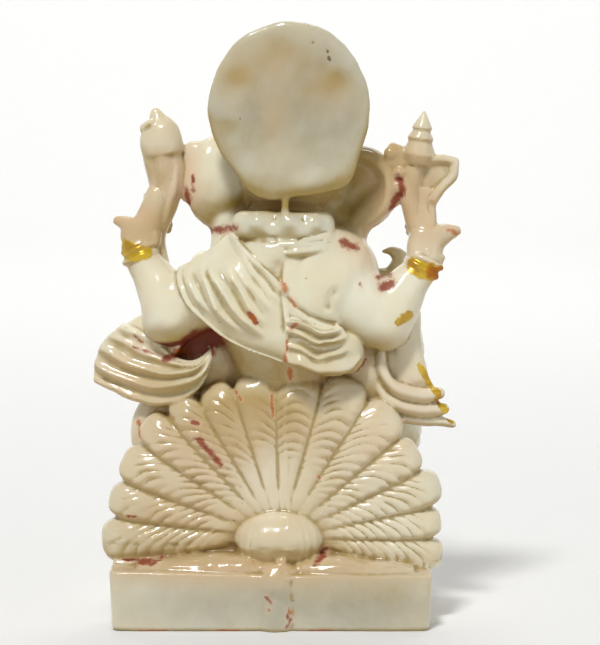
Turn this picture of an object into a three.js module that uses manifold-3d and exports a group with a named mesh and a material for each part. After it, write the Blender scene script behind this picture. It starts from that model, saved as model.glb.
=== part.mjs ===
// A seated, four-armed Ganesha with a halo and a fan of feathers behind it, cast in one piece with
// its low plinth. Millimetres, +Z up. The figure faces -Y, its left side is +X, and the origin is
// the centre of the underside.
import * as THREE from "three";
import { mergeVertices } from "three/addons/utils/BufferGeometryUtils.js";
import Module from "manifold-3d";

// Driving dimensions
const PLINTH = { width: 69.4, depth: 48, height: 12.8, corner: 1.6, edge: 0.7, draft: 0.016 };
const FIGURE_X = -3; // the figure sits a little to its right of the plinth's middle
const FIGURE_Y = 1; // and a little behind it
const HALO = { x: -4, y: 12, z: 111.2, halfWidth: 17.4, halfHeight: 18.9, thickness: 3.2, lean: 2.4 };
const FAN = {
  root: [-2, 18.8], // x and z of the point that the feathers spread from
  firstAngle: -9, // degrees above +X of the lowest edge on the left
  feathers: [
    // angle and length of each one, from the left over the top to the right
    [15.2, 38.9],
    [12.6, 38.2],
    [14.4, 38.3],
    [13, 38.6],
    [12.2, 37.4],
    [13.6, 35.8],
    [16, 35.6],
    [18, 35.6],
    [17, 37.2],
    [17.5, 36.8],
    [15, 35.4],
    [13.5, 36.6],
    [12, 35.2],
    [12, 35.8],
  ],
  skirt: 8, // root to the fan's edge below it, towards the plinth
  back: 14.5, // y of the back's valleys at the root
  lean: 0.1, // how far the back moves forward for each millimetre away from the root
  ribDepth: 2.3,
  thickness: 7,
};
const WRIST_BAND = { radius: 3.4, cord: 0.95 };

const wasm = await Module();
wasm.setup();
const rad = THREE.MathUtils.degToRad;
const vec = (p) => new THREE.Vector3(p[0], p[1], p[2]);

// A geometry as a manifold-3d solid, turned outwards if its faces point in.
function solid(geometry) {
  const bare = new THREE.BufferGeometry()
    .setAttribute("position", geometry.getAttribute("position"))
    .setIndex(geometry.index);
  const merged = mergeVertices(bare, 1e-4);
  const build = (triVerts) =>
    new wasm.Manifold(
      new wasm.Mesh({ numProp: 3, vertProperties: merged.attributes.position.array, triVerts }),
    );
  const made = build(new Uint32Array(merged.index.array));
  return made.volume() > 0 ? made : build(new Uint32Array(merged.index.array).reverse());
}

// A closed surface through rings of equally many points, with a pole at each end.
function skin(rings, startPole, endPole) {
  const sides = rings[0].length;
  const points = [...rings.flat(), startPole, endPole];
  const start = rings.length * sides;
  const index = [];
  for (let j = 0; j < sides; j++) {
    const k = (j + 1) % sides;
    index.push(start, j, k);
    index.push(start + 1, start - sides + k, start - sides + j);
    for (let i = 0; i + 1 < rings.length; i++) {
      const a = i * sides;
      const b = a + sides;
      index.push(a + j, b + j, b + k, a + j, b + k, a + k);
    }
  }
  const geometry = new THREE.BufferGeometry().setFromPoints(points).setIndex(index);
  return solid(geometry);
}

// An ellipsoid, turned by Euler angles in degrees.
function blob(centre, radii, { turn = [0, 0, 0], around = 12, rows = 8 } = {}) {
  const geometry = new THREE.SphereGeometry(1, around, rows)
    .rotateX(Math.PI / 2)
    .scale(...radii)
    .applyMatrix4(new THREE.Matrix4().makeRotationFromEuler(new THREE.Euler(...turn.map(rad))))
    .translate(...centre);
  return solid(geometry);
}

// A body swept along a smooth curve. Each station is [x, y, z, half width, half depth], and the half
// depth lies towards `facing`. `folds` are ridges of cloth, hair or fingers along the side that faces
// it, with a negative depth where the edges are ridges too. `tips` shapes the start and the end: 0
// cuts it flat, 1 gives it a blunt point and 2 a round end.
function limb(stations, options = {}) {
  const { facing = [0, 1, 0], sides = 8, steps, folds = 0, foldDepth = 0.6, tips = [0, 0] } = options;
  const line = new THREE.CatmullRomCurve3(stations.map(vec));
  const sizes = new THREE.CatmullRomCurve3(stations.map((s) => new THREE.Vector3(s[3], s[4] ?? s[3], 0)));
  const count = steps ?? Math.max(2, stations.length);
  const turns = Array.from({ length: sides }, (_, j) => (2 * Math.PI * j) / sides);
  const plain = turns.map((a) => [Math.cos(a), Math.sin(a), 0]);
  const folded = Array.from({ length: 2 * folds + 1 }, (_, j) => 1 - j / folds).map((c) => {
    const s = Math.sqrt(1 - c * c);
    return [c, s, foldDepth * Math.cos(Math.PI * folds * c) * Math.sqrt(s)];
  });
  const profile = folds ? [...folded, [-0.5, -0.87, 0], [0.5, -0.87, 0]] : plain;
  const shifted = (t, shift) => {
    const size = sizes.getPoint(t);
    return line.getPoint(t).addScaledVector(line.getTangent(t), shift * Math.min(size.x, size.y));
  };
  const ring = (t, scale = 1, shift = 0) => {
    const centre = shifted(t, shift);
    const size = sizes.getPoint(t);
    const along = line.getTangent(t);
    const outward = vec(facing).projectOnPlane(along).normalize();
    const across = new THREE.Vector3().crossVectors(along, outward);
    return profile.map(([c, s, ridge]) =>
      centre
        .clone()
        .addScaledVector(across, size.x * c * scale)
        .addScaledVector(outward, (size.y * s + ridge) * scale),
    );
  };
  const rings = Array.from({ length: count + 1 }, (_, i) => ring(i / count));
  if (tips[0] === 2) rings.unshift(ring(0, 0.72, -0.69));
  if (tips[1] === 2) rings.push(ring(1, 0.72, 0.69));
  const reach = [0, 0.6, 1];
  return skin(rings, shifted(0, -reach[tips[0]]), shifted(1, reach[tips[1]]));
}

// A plate around a centre: `outline(angle)` is its reach in the plane of `u` and `v`, and `back` and
// `front` give the height of each face along u x v for a share of that reach and an angle. A ring of
// points lies at each of `shares` on the back and `frontShares` on the front.
function plate({ centre, u, v, outline, back, front, sides, shares, frontShares }) {
  const normal = new THREE.Vector3().crossVectors(vec(u), vec(v)).normalize();
  const place = (share, angle, height) => {
    const reach = outline(angle) * share;
    return vec(centre)
      .addScaledVector(vec(u), reach * Math.cos(angle))
      .addScaledVector(vec(v), reach * Math.sin(angle))
      .addScaledVector(normal, height);
  };
  const ring = (share, face) =>
    Array.from({ length: sides }, (_, j) => {
      const angle = (2 * Math.PI * j) / sides;
      return place(share, angle, face(share, angle));
    });
  const rim = (share, angle) => (back(share, angle) + front(share, angle)) / 2;
  const behind = shares.map((share) => ring(share, back));
  const ahead = frontShares.map((share) => ring(share, front));
  return skin([...behind, ring(1, rim), ...ahead], place(0, 0, back(0, 0)), place(0, 0, front(0, 0)));
}

// A turned body on a vertical axis, from [radius, height] pairs that start and end on the axis.
function turned(profile, centre, { sides = 12, squash = 1 } = {}) {
  const points = profile.map(([r, z]) => new THREE.Vector2(r, z));
  const geometry = new THREE.LatheGeometry(points, sides)
    .rotateX(Math.PI / 2)
    .scale(1, squash, 1)
    .translate(...centre);
  return solid(geometry);
}

// A ring whose axis points along `axis`.
function band(centre, axis, radius, cord) {
  const turn = new THREE.Quaternion().setFromUnitVectors(new THREE.Vector3(0, 0, 1), vec(axis).normalize());
  const geometry = new THREE.TorusGeometry(radius, cord, 4, 9)
    .applyQuaternion(turn)
    .translate(...centre);
  return solid(geometry);
}

// The block that everything stands on. Its sides draw in a little towards the underside.
function plinth() {
  const { width, depth, height, corner, edge, draft } = PLINTH;
  const w = width / 2 - edge;
  const d = depth / 2 - edge;
  const outline = new THREE.Shape()
    .moveTo(-w + corner, -d)
    .lineTo(w - corner, -d)
    .absarc(w - corner, -d + corner, corner, -Math.PI / 2, 0)
    .absarc(w - corner, d - corner, corner, 0, Math.PI / 2)
    .absarc(-w + corner, d - corner, corner, Math.PI / 2, Math.PI)
    .absarc(-w + corner, -d + corner, corner, Math.PI, 1.5 * Math.PI);
  const geometry = new THREE.ExtrudeGeometry(outline, {
    depth: height - 2 * edge,
    bevelThickness: edge,
    bevelSize: edge,
    bevelSegments: 1,
    curveSegments: 2,
  }).translate(0, 0, edge);
  const p = geometry.attributes.position;
  for (let i = 0; i < p.count; i++) {
    const share = 1 - draft * (1 - p.getZ(i) / height);
    p.setXY(i, p.getX(i) * share, p.getY(i) * share);
  }
  return solid(geometry);
}

// The feathers, as one plate that is ribbed like a shell on both faces, with the rump that they spring from.
function fan() {
  const { root, feathers, skirt, back, lean, ribDepth, thickness } = FAN;
  const samples = 4; // points across each feather
  const below = 3; // points along the skirt
  const count = feathers.length * samples;
  const edges = feathers.reduce((list, [width]) => [...list, list.at(-1) + width], [FAN.firstAngle]);
  const last = edges.at(-1);
  const bend = (step) => {
    const i = Math.floor(step / samples);
    if (step < count) return rad(edges[i] + (feathers[i][0] * (step % samples)) / samples);
    return rad(last + ((step - count) / below) * (360 + FAN.firstAngle - last));
  };
  const across = (step) => (step < count ? (2 * (step % samples)) / samples - 1 : null);
  const reach = (step) => {
    const f = across(step);
    if (step === count) return feathers.at(-1)[1] * 0.95;
    if (f === null) return skirt / Math.abs(Math.sin(bend(step)));
    return feathers[Math.floor(step / samples)][1] * (1 - 0.04 * f ** 4);
  };
  const ridge = (share, step) => {
    const f = across(step);
    return f === null ? 0 : ribDepth * Math.sqrt(share) * Math.sqrt(1 - f * f);
  };
  const valley = (share, step) => back - lean * reach(step) * share * Math.max(0, Math.sin(bend(step)));
  const faceBack = (share, step) => valley(share, step) + ridge(share, step) - (share > 0.9 ? 1.4 : 0);
  const faceFront = (share, step) => valley(share, step) - thickness - 0.7 * ridge(share, step);
  const rim = (share, step) => (faceBack(share, step) + faceFront(share, step)) / 2;
  const point = (share, step, y) => {
    const r = reach(step) * share;
    return new THREE.Vector3(root[0] + r * Math.cos(bend(step)), y, root[1] + r * Math.sin(bend(step)));
  };
  const ring = (share, face) =>
    Array.from({ length: count + below }, (_, step) => point(share, step, face(share, step)));
  const rings = [...[0.5, 0.95].map((s) => ring(s, faceBack)), ring(1, rim), ring(0.85, faceFront)];
  return [
    skin(rings, point(0, 0, back), point(0, 0, back - thickness)),
    blob([root[0], 14.5, root[1] - 0.2], [9.4, 6.4, 6.2], { around: 10, rows: 6 }),
    limb([[34, 9, 12.4, 6.5, 2.2], [FIGURE_X, 9.6, 12.8, 7.5, 3], [-34, 9, 12.4, 6.5, 2.2]], {
      facing: [0, 0, 1],
      sides: 6,
      steps: 2,
    }),
  ];
}

// The body from the hips over the belly and chest to the neck, and the cushion that it sits on.
// Three more forms carry the flanks out to the arms and the cloth.
function torso() {
  const x = FIGURE_X;
  const flank = { around: 6, rows: 4 };
  return [
    limb(
      [
        [x, 0, 15, 20, 10],
        [x, -1, 24, 23, 12],
        [x, -5, 32, 21.5, 15.5],
        [x, -6.6, 41, 20.4, 17.6],
        [x, -5, 50, 18.2, 17],
        [x, -0.4, 58, 13.8, 11.8],
        [x, 0.6, 65, 17.4, 13.2],
        [x, 0.8, 73, 17.8, 13.2],
        [x, 1.4, 81, 13.2, 9.8],
        [x, 1.5, 89, 9, 7.5],
      ],
      { sides: 14, steps: 9 },
    ),
    turned([[0, 0], [28, 0], [30.5, 2], [28.5, 5.4], [0, 6]], [0.5, -4, 12.4], { sides: 10, squash: 0.62 }),
    blob([-19.6, 2, 52], [8.8, 6, 9.4], flank),
    blob([12.6, 2, 57], [7.6, 5.6, 9.8], flank),
    blob([20, 3, 43.6], [7.8, 4.6, 7.4], flank),
  ];
}

// The legs: the left one lies folded on the cushion, the right knee stands up with its foot on the plinth.
function legs() {
  const cloth = { facing: [0, -0.6, 1], folds: 3, foldDepth: 0.6, steps: 3, tips: [0, 2] };
  const shin = { sides: 8, steps: 3 };
  return [
    limb([[9, -3, 28, 10, 9], [19, -6, 26, 9.5, 8.5], [27.5, -9.5, 24, 7.6, 7.5]], cloth),
    limb([[27, -10.5, 22.5, 6.8, 6.2], [17, -17.5, 21.5, 5.8, 5.2], [5, -20, 21, 4.4, 4]], shin),
    limb([[-10, -3, 27, 10, 9], [-19, -7, 33, 9, 8.5], [-27, -10, 39.4, 7.5, 7]], cloth),
    limb([[-27, -10.5, 38, 7, 6.4], [-24, -14, 27, 5.6, 5.2], [-22, -14.5, 17.5, 4.2, 4]], shin),
    ...foot([2.5, -20, 20.6], [-1, -0.12, -0.06]),
    ...foot([-22, -13.5, 14.6], [0.14, -1, 0]),
    limb([[24.4, 3, 48, 3.4, 3], [27.2, 3, 41.6, 3.8, 3.2], [27, 3, 35, 3.4, 3]], { sides: 7, steps: 2 }),
  ];
}

// A foot from its heel, with five toes across its end.
function foot(heel, direction) {
  const ahead = vec(direction).normalize();
  const aside = new THREE.Vector3().crossVectors(ahead, new THREE.Vector3(0, 0, 1)).normalize();
  const at = (along, across, up) =>
    vec(heel)
      .addScaledVector(ahead, along)
      .addScaledVector(aside, across)
      .add(new THREE.Vector3(0, 0, up));
  const sole = limb(
    [
      [...at(-1, 0, 1.2), 2.8, 2.8],
      [...at(3.4, 0, 0.6), 3.2, 2.4],
      [...at(6.4, 0, 0), 3.8, 1.8],
    ],
    { facing: [0, 0, 1], sides: 7, steps: 2, tips: [1, 0] },
  );
  const toes = [0, 1, 2, 3, 4].map((i) => {
    const across = (i - 2) * 1.6;
    const thick = i === 0 ? 1.15 : 0.9;
    return limb([[...at(6, across, 0.1), thick], [...at(8.9 - 0.4 * i, across, 0.1), thick]], {
      sides: 5,
      steps: 1,
      tips: [0, 1],
    });
  });
  return [sole, ...toes];
}

// The two arms at the back, each raised from its elbow, and the two at the front.
function arms() {
  const { radius, cord } = WRIST_BAND;
  const front = { sides: 7, steps: 2 };
  const elbowed = { ...front, tips: [2, 0] };
  return [
    limb([[8, 4.5, 76, 7.5, 6.5], [15, 6.5, 71, 7, 6.5], [21.4, 7.2, 65.4, 6.6, 6]], { steps: 2 }),
    limb(
      [
        [21.6, 7.2, 65.6, 6.8, 6.2],
        [23.2, 6.6, 70, 5.7, 5.4],
        [25.6, 5.7, 74.8, 4.5, 4.4],
        [28.6, 4.8, 79.2, 3.5, 3.4],
        [29.4, 4.2, 82.6, 4, 3.2],
      ],
      { steps: 4, tips: [2, 0] },
    ),
    limb([[-12, 4.5, 75, 8, 6.5], [-18, 6.5, 69.5, 8, 6.6], [-24, 7.2, 65, 6.8, 6.2]], { steps: 2 }),
    limb(
      [
        [-24.2, 7.2, 65.2, 6.9, 6.2],
        [-27.2, 6.6, 69.4, 5.7, 5.3],
        [-29.9, 5.8, 73.2, 4.5, 4.2],
        [-33, 5, 76.8, 3.6, 3.4],
        [-34.4, 4.4, 80.6, 4.2, 3.2],
      ],
      { steps: 4, tips: [2, 0] },
    ),
    limb([[12, -2, 75, 6.5, 6], [19, -3, 66, 5.8, 5.6], [20.5, -4, 58, 5, 5]], front),
    limb([[20.5, -4, 58, 5, 5], [19.6, -11, 53.5, 4.2, 4.2], [17, -18, 51.6, 3, 3]], elbowed),
    limb([[-18, -2, 75, 6.5, 6], [-26, -3, 66, 5.8, 5.6], [-29.2, -5, 57.5, 5, 5]], front),
    limb([[-29.2, -5, 57.5, 5, 5], [-29.4, -10.5, 62, 4.2, 4.2], [-28.8, -13.7, 68.6, 3, 2.6]], elbowed),
    band([28.7, 4.8, 79.1], [0.4, -0.1, 1], radius, cord),
    band([-32.8, 5, 76.6], [-0.6, -0.1, 1], radius, cord),
  ];
}

// A finger or thumb through points, thinner towards its tip.
function finger(points, thick) {
  const stations = points.map((p, i) => [...p, thick * (1 - (0.2 * i) / (points.length - 1))]);
  return limb(stations, { sides: 5, steps: points.length - 1, tips: [0, 1] });
}

// The four hands: two grip the things they hold up, one blesses and one carries sweets. The fingers
// that lie side by side are one body with a ridge for each.
function hands() {
  const palm = { around: 8, rows: 4 };
  const grip = { facing: [0, -1, 0.2], folds: 3, foldDepth: 0.35, steps: 1, tips: [0, 1] };
  const open = { facing: [0, 1, 0], folds: 4, foldDepth: -0.35, steps: 1, tips: [0, 1] };
  return [
    blob([28.8, 3.4, 84.4], [5.7, 3, 4.2], palm),
    finger([[30, 3.2, 85.4], [33.8, 2.9, 87.4]], 2.1),
    finger([[27.4, 2.8, 86], [26.9, 2, 92.6]], 1.6),
    limb([[28, 1, 88, 3.4, 1.6], [22.6, -0.6, 86.2, 3.2, 1.6]], grip),
    blob([-34.6, 3.8, 81.9], [5.3, 3, 5.4], palm),
    finger([[-36, 3.6, 82.4], [-40.6, 3, 84.6]], 2.7),
    finger([[-33.8, 3.6, 84.4], [-33.8, 2.8, 91.4]], 2.2),
    limb([[-34.4, 1, 84, 3.4, 1.6], [-31.2, -0.8, 84.8, 3.2, 1.6]], grip),
    blob([-28.6, -14, 71.4], [3.8, 2, 4.2], palm),
    limb([[-28.4, -14.2, 72.6, 3.6, 1.1], [-28.8, -14.8, 79.2, 3.5, 1]], open),
    finger([[-26, -14.4, 70], [-23.6, -15.2, 74]], 1.15),
    blob([15.6, -20.8, 51.2], [4.2, 4.2, 1.9], palm),
    limb([[15.2, -22, 51, 3.7, 1.1], [14.4, -25, 54, 3.7, 1]], { ...open, facing: [0, -1, -1] }),
    finger([[12.6, -19.6, 51.6], [11.2, -22, 54.8]], 1.15),
    blob([15.2, -21, 53.4], [3.4, 3.4, 3.6], palm),
  ];
}

// The lotus bud in the left hand, and the ringed spike with a blade and a knob in the right one.
function emblems() {
  const bud = limb(
    [
      [24, 2.4, 76, 2, 2.4],
      [25.4, 2, 83, 2.1, 2.4],
      [23.4, 2, 90, 2.8, 2.6],
      [23, 2, 95.5, 3.8, 3.2],
      [23.8, 2, 100.6, 4.5, 3.8],
      [24, 2, 105, 4.4, 3.7],
      [24.5, 2, 108.6, 2.7, 2.4],
      [25, 2, 110.6, 1.1, 1],
    ],
    { steps: 9, tips: [0, 1] },
  );
  const tilt = new THREE.Matrix4().makeRotationY(rad(-7));
  const rings = [[3.2, -1.8], [3.7, 0.4], [2.7, 3.2], [2.9, 3.8], [1.9, 5.6], [2, 6.4], [1.2, 8.4]];
  const profile = [[0, -2.5], ...rings, [0, 10.4]];
  const spike = turned(profile, [0, 0, 0], { sides: 8 }).transform([...tilt.elements]);
  return [
    bud,
    spike.translate([-32.2, 2, 101]),
    limb([[-32.4, 2.6, 83, 2, 2.1], [-30.4, 2.4, 91, 2, 2], [-31, 2, 98.5, 2.8, 2.4]], {
      sides: 6,
      steps: 3,
    }),
    limb([[-31, 2, 99.8, 2.4, 1.9], [-25.9, 2, 101.3, 2.8, 1.9]], { sides: 6, steps: 1, tips: [0, 1] }),
    limb([[-32, 2, 96.8, 5.6, 1.8], [-36.4, 2.3, 97.8, 4, 1.6], [-39.4, 2.5, 98.7, 2.2, 1.3]], {
      sides: 6,
      steps: 3,
      tips: [0, 1],
    }),
  ];
}

// The elephant's head with its trunk, tusks and crown, and the hair at the nape.
function head() {
  const x = FIGURE_X - 0.5;
  const both = (f) => [1, -1].flatMap(f);
  const tiers = [[11, 0], [11.5, 1.6], [9.6, 3.6], [9.9, 5.4], [7.6, 8.8], [7.7, 10.8], [5.6, 15]];
  const crown = [[0, 0], ...tiers, [4.4, 17.6], [0, 22.4]];
  const trunk = limb(
    [
      [x, -8, 98, 8, 7],
      [x, -12.8, 91, 6.2, 5.4],
      [x, -14.2, 84, 5, 4.6],
      [x + 0.2, -15.2, 77, 4.3, 4.1],
      [x + 1.4, -17.6, 69.5, 3.8, 3.7],
      [x + 4.6, -21.6, 62.4, 3.3, 3.2],
      [x + 9.5, -23.8, 58.6, 2.9, 2.8],
      [x + 13.6, -24.2, 60, 2.5, 2.4],
      [x + 13.4, -23.4, 63.4, 2.1, 2],
    ],
    { sides: 7, steps: 9, tips: [0, 1] },
  );
  return [
    blob([x, -1.5, 98], [12, 10.5, 11.5], { around: 10, rows: 6 }),
    trunk,
    ...both((side) => [
      blob([x + side * 4.8, -7.6, 101.6], [5.6, 5.2, 5.2], { around: 8, rows: 4 }),
      blob([x + side * 6.6, -8.2, 92.6], [5.2, 5.6, 6.2], { around: 8, rows: 4 }),
      blob([x + side * 7, -11.8, 97], [2, 1.5, 1.3], { around: 6, rows: 4 }),
      limb([[x + side * 5, -11, 90.6, 1.8], [x + side * 8, -16.8, 88, side > 0 ? 1.4 : 0.8]], {
        sides: 6,
        steps: 1,
        tips: [0, 1],
      }),
    ]),
    limb([[8, 5.5, 86.4, 4.6, 3], [2, 9, 86, 5.2, 3], [-6, 9.4, 86, 5.2, 3], [-14, 5.5, 86.2, 4.8, 3]], {
      sides: 7,
      steps: 4,
    }),
    turned(crown, [x, -0.5, 103], { sides: 10 }),
    limb([[x, -10.6, 104.6, 3, 1.6], [x, -7.4, 114, 1.4, 1.6]], { facing: [0, -1, 0], sides: 5, steps: 1 }),
  ];
}

// The ears: the left one turns its round back to the rear, the right one is a dish with a raised rim.
function ears() {
  const oval = (width, above, below) => (a) =>
    1 / Math.hypot(Math.cos(a) / width, Math.sin(a) / (Math.sin(a) > 0 ? above : below));
  const left = plate({
    centre: [11.4, 1, 95],
    u: [0.96, 0.28, 0],
    v: [0, 0, 1],
    outline: oval(7.8, 10.4, 10),
    back: (s) => -3.6 * (1 - s * s) - 1.2,
    front: (s) => 1.2 - 1.6 * (1 - s),
    sides: 12,
    shares: [0.55],
    frontShares: [0.85],
  });
  const right = plate({
    centre: [-19.4, 0, 94.2],
    u: [0.97, -0.24, 0],
    v: [0, 0, 1],
    outline: oval(8.6, 9, 9.6),
    back: (s) => (s > 0.6 ? -3.6 : -1.4),
    front: (s) => 1.6 - 1.4 * (1 - s),
    sides: 14,
    shares: [0.55, 0.75, 0.92],
    frontShares: [0.85],
  });
  const lobe = { sides: 6, steps: 2 };
  return [
    left,
    right,
    blob([FIGURE_X, -1, 95], [14, 5, 9], { around: 8, rows: 4 }),
    limb([[13.4, 1, 101, 3.4, 2.6], [18.2, 1, 101.4, 3, 2]], { ...lobe, steps: 1, tips: [0, 1] }),
    limb([[12.8, 1, 91.4, 4, 3], [10.2, 1.6, 86, 3.4, 3], [10, 2.5, 80, 3.4, 3]], lobe),
    limb([[18.4, 1.2, 101, 1.6, 1.5], [18.2, 1.4, 91, 1.4, 1.4]], { ...lobe, steps: 1 }),
    limb([[-24.6, 1, 92.6, 2.8, 2.4], [-19.4, 1.6, 86.4, 3, 2.6], [-16, 2.6, 79, 3.6, 3]], lobe),
    limb([[-27, 1.6, 99, 1.8, 1.6], [-26.6, 1.8, 90.6, 1.8, 1.4]], { ...lobe, steps: 1, tips: [0, 1] }),
  ];
}

// The disc behind the crown, which leans a little to the left, with the sprue that joins it to the nape.
function halo() {
  const { x, y, z, halfWidth, halfHeight, thickness, lean } = HALO;
  const c = Math.cos(rad(lean));
  const s = Math.sin(rad(lean));
  return [
    plate({
      centre: [x, y, z],
      u: [-c, 0, s],
      v: [s, 0, c],
      outline: (a) => 1 / Math.hypot(Math.cos(a) / halfWidth, Math.sin(a) / halfHeight),
      back: (share) => (thickness / 2) * (1 - 0.5 * share ** 8) + 0.7 * (1 - share * share),
      front: (share) => -(thickness / 2) * (1 - 0.5 * share ** 8),
      sides: 26,
      shares: [0.93],
      frontShares: [0.93],
    }),
    blob([x, y - 4, z - 6], [9, 4, 9], { around: 8, rows: 4 }),
    limb([[-3.3, 11.2, 94, 1, 1.2], [-3.2, 10.6, 90, 0.8, 1.2]], { sides: 5, steps: 1 }),
  ];
}

// The shawl: over the left shoulder, round the right side of the waist, and its two ends beside the elbows.
function shawl() {
  const swags = [
    [[-24.4, 5.5, 54.2, 1.6, 2], [-26.6, 7, 50, 2.4, 2.4], [-31, 7.2, 48.4, 2.6, 2.2], [-36.6, 6.6, 49.4, 2]],
    [[-23.8, 5, 51, 1.6, 2], [-26.6, 6.4, 46.8, 2.1, 2.4], [-31.5, 6.8, 45, 2, 2.2], [-37.4, 6.2, 45.6, 2]],
    [[-25, 4, 45, 2, 2], [-32, 4.6, 44, 1.8, 2], [-37, 5, 43.6, 1.6, 1.6], [-39.2, 5, 43.3, 1.4]],
  ];
  return [
    limb(
      [
        [12.6, 6.2, 78.2, 7.4, 3.4],
        [7.6, 10.2, 72.2, 8, 4],
        [2.4, 12.6, 66, 7.4, 3.6],
        [-2.4, 12.8, 61.8, 6.4, 3],
      ],
      { facing: [0.3, 1, 0.25], steps: 3, folds: 5, foldDepth: 0.7, tips: [2, 0] },
    ),
    limb([[-2.4, 12, 62, 4.6, 3], [-11, 12.8, 59.6, 5.8, 3.6], [-18.6, 10.4, 59.6, 4.2, 3]], {
      steps: 3,
      folds: 4,
      foldDepth: 0.7,
      tips: [0, 2],
    }),
    limb(
      [
        [12.2, 8.8, 59.6, 0.9, 0.9],
        [14.6, 9.6, 55.6, 2.6, 1.6],
        [19.8, 9.6, 52, 4.5, 2.2],
        [26, 8, 53.2, 7, 2.4],
        [31.4, 5.8, 55.2, 8.2, 2.4],
        [36.4, 3.6, 52.4, 5.4, 2],
      ],
      { facing: [0.2, 1, 0], steps: 6, folds: 5, foldDepth: 0.8, tips: [1, 2] },
    ),
    limb([[20, 5, 58, 5, 3], [26, 3, 62, 4.6, 2.6], [31, 1.5, 61.6, 3, 2.2]], {
      sides: 6,
      steps: 2,
      tips: [0, 1],
    }),
    limb([[-30.4, 2, 67, 2.6, 2.2], [-30.6, 4.6, 60, 3.6, 2.6], [-31, 6.6, 52.4, 5.4, 3]], {
      sides: 6,
      steps: 2,
      tips: [0, 2],
    }),
    ...swags.map((stations) => limb(stations, { sides: 5, steps: 3, tips: [0, 1] })),
  ];
}

// Joins all the forms into one solid. Pockets that the forms enclose between them are filled.
function casting() {
  const figure = [fan, torso, legs, arms, hands, emblems, head, ears, halo, shawl].flatMap((make) => make());
  const joined = wasm.Manifold.union(figure).translate([0, FIGURE_Y, 0]).add(plinth());
  const outer = joined.decompose().reduce((a, b) => (b.volume() > a.volume() ? b : a));
  const { vertProperties, triVerts } = outer.getMesh();
  return new THREE.BufferGeometry()
    .setAttribute("position", new THREE.BufferAttribute(vertProperties, 3))
    .setIndex(new THREE.BufferAttribute(triVerts, 1));
}

const marble = new THREE.MeshStandardMaterial({ color: 0xe6dcc4, roughness: 0.25, metalness: 0 });
const statue = new THREE.Mesh(casting(), marble);
statue.name = "ganesha_statue";

const part = new THREE.Group();
part.add(statue);
export default part;
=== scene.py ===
"""A seated, four-armed Ganesha with a halo and a fan of feathers, cast in one piece with its plinth.

Every form is a closed numpy surface in millimetres. The forms are joined and remeshed into one skin,
softened as a casting is, and carved with its fine relief by moving vertices along their normals.
"""
import math

import bpy
import numpy as np
from bpy.props import FloatProperty, FloatVectorProperty, IntProperty, PointerProperty
from mathutils import Matrix, Vector


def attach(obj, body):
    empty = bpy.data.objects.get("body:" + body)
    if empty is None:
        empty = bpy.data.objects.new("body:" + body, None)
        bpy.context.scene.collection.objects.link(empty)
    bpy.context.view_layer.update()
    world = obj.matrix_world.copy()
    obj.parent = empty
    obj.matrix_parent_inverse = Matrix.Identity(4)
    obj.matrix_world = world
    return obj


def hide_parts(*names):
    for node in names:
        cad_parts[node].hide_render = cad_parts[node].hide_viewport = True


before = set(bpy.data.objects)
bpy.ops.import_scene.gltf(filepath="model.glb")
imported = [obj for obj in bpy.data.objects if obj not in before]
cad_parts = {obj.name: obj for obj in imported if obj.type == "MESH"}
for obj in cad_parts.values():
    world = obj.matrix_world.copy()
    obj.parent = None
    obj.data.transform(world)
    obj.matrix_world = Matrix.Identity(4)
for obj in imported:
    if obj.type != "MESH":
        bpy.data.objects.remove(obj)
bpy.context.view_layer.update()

bl_info = {
    "name": "Cast Ganesha",
    "version": (1, 0, 0),
    "blender": (4, 5, 0),
    "location": "3D View > Sidebar > Statue",
    "description": "A small glossy Ganesha of cast resin, seen from behind on a pale floor",
    "category": "Add Mesh",
}

NODE = "ganesha_statue"
MM = 0.001
IMAGE_HEIGHT = 645

# Where the parts of the figure sit and their main sizes, in millimetres and degrees
FIGURE_X = -3.0
FIGURE_Y = 1.0
HEAD_X = FIGURE_X - 0.5
SEAM_X = -3.3
PLINTH = {"width": 69.4, "depth": 48.0, "height": 12.8, "draft": 0.016, "edge": 0.7, "squareness": 0.06}
HALO = {
    "x": -4.0, "y": 12.0, "z": 111.2, "half_width": 17.4, "half_height": 18.9, "thickness": 3.2, "lean": 2.4,
}
FAN_ROOT = (-2.0, 18.8)
FAN_START = -9.0
# Each feather's width in degrees and its length, from the figure's left over the top to its right
FEATHERS = [
    (15.2, 38.9), (12.6, 38.2), (14.4, 38.3), (13.0, 38.6), (12.2, 37.4), (13.6, 35.8), (16.0, 35.6),
    (18.0, 35.6), (17.0, 37.2), (17.5, 36.8), (15.0, 35.4), (13.5, 36.6), (12.0, 35.2), (12.0, 35.8),
]
FAN_BACK = 14.5
FAN_LEAN = 0.1
FAN_THICKNESS = 7.0
FAN_SKIRT = 8.0
FAN_SWELL = 1.75
RUMP_SHIFT = (0.4, -0.5)
RUMP_RADII = (9.7, 6.6, 6.2)
# The share of each feather's length at which its comb lines begin
BARB_START = (0.36, 0.38, 0.36, 0.34, 0.36, 0.46, 0.54, 0.5, 0.42, 0.34, 0.32, 0.32, 0.36, 0.36)
# How far the comb lines lean on the figure's left and right, and how far from upright a feather is
# when they lean so, in degrees
BARB_LEAN = ((50, 18), (46, 42))
# The distance from the root at which the comb lines stand twice as far apart as at the root
BARB_SPREAD = 28
# The body is fused and softened by itself first, on a coarser grid
BODY_VOXEL = 0.5
BODY_PASSES = 10


# Curves and closed surfaces

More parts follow.
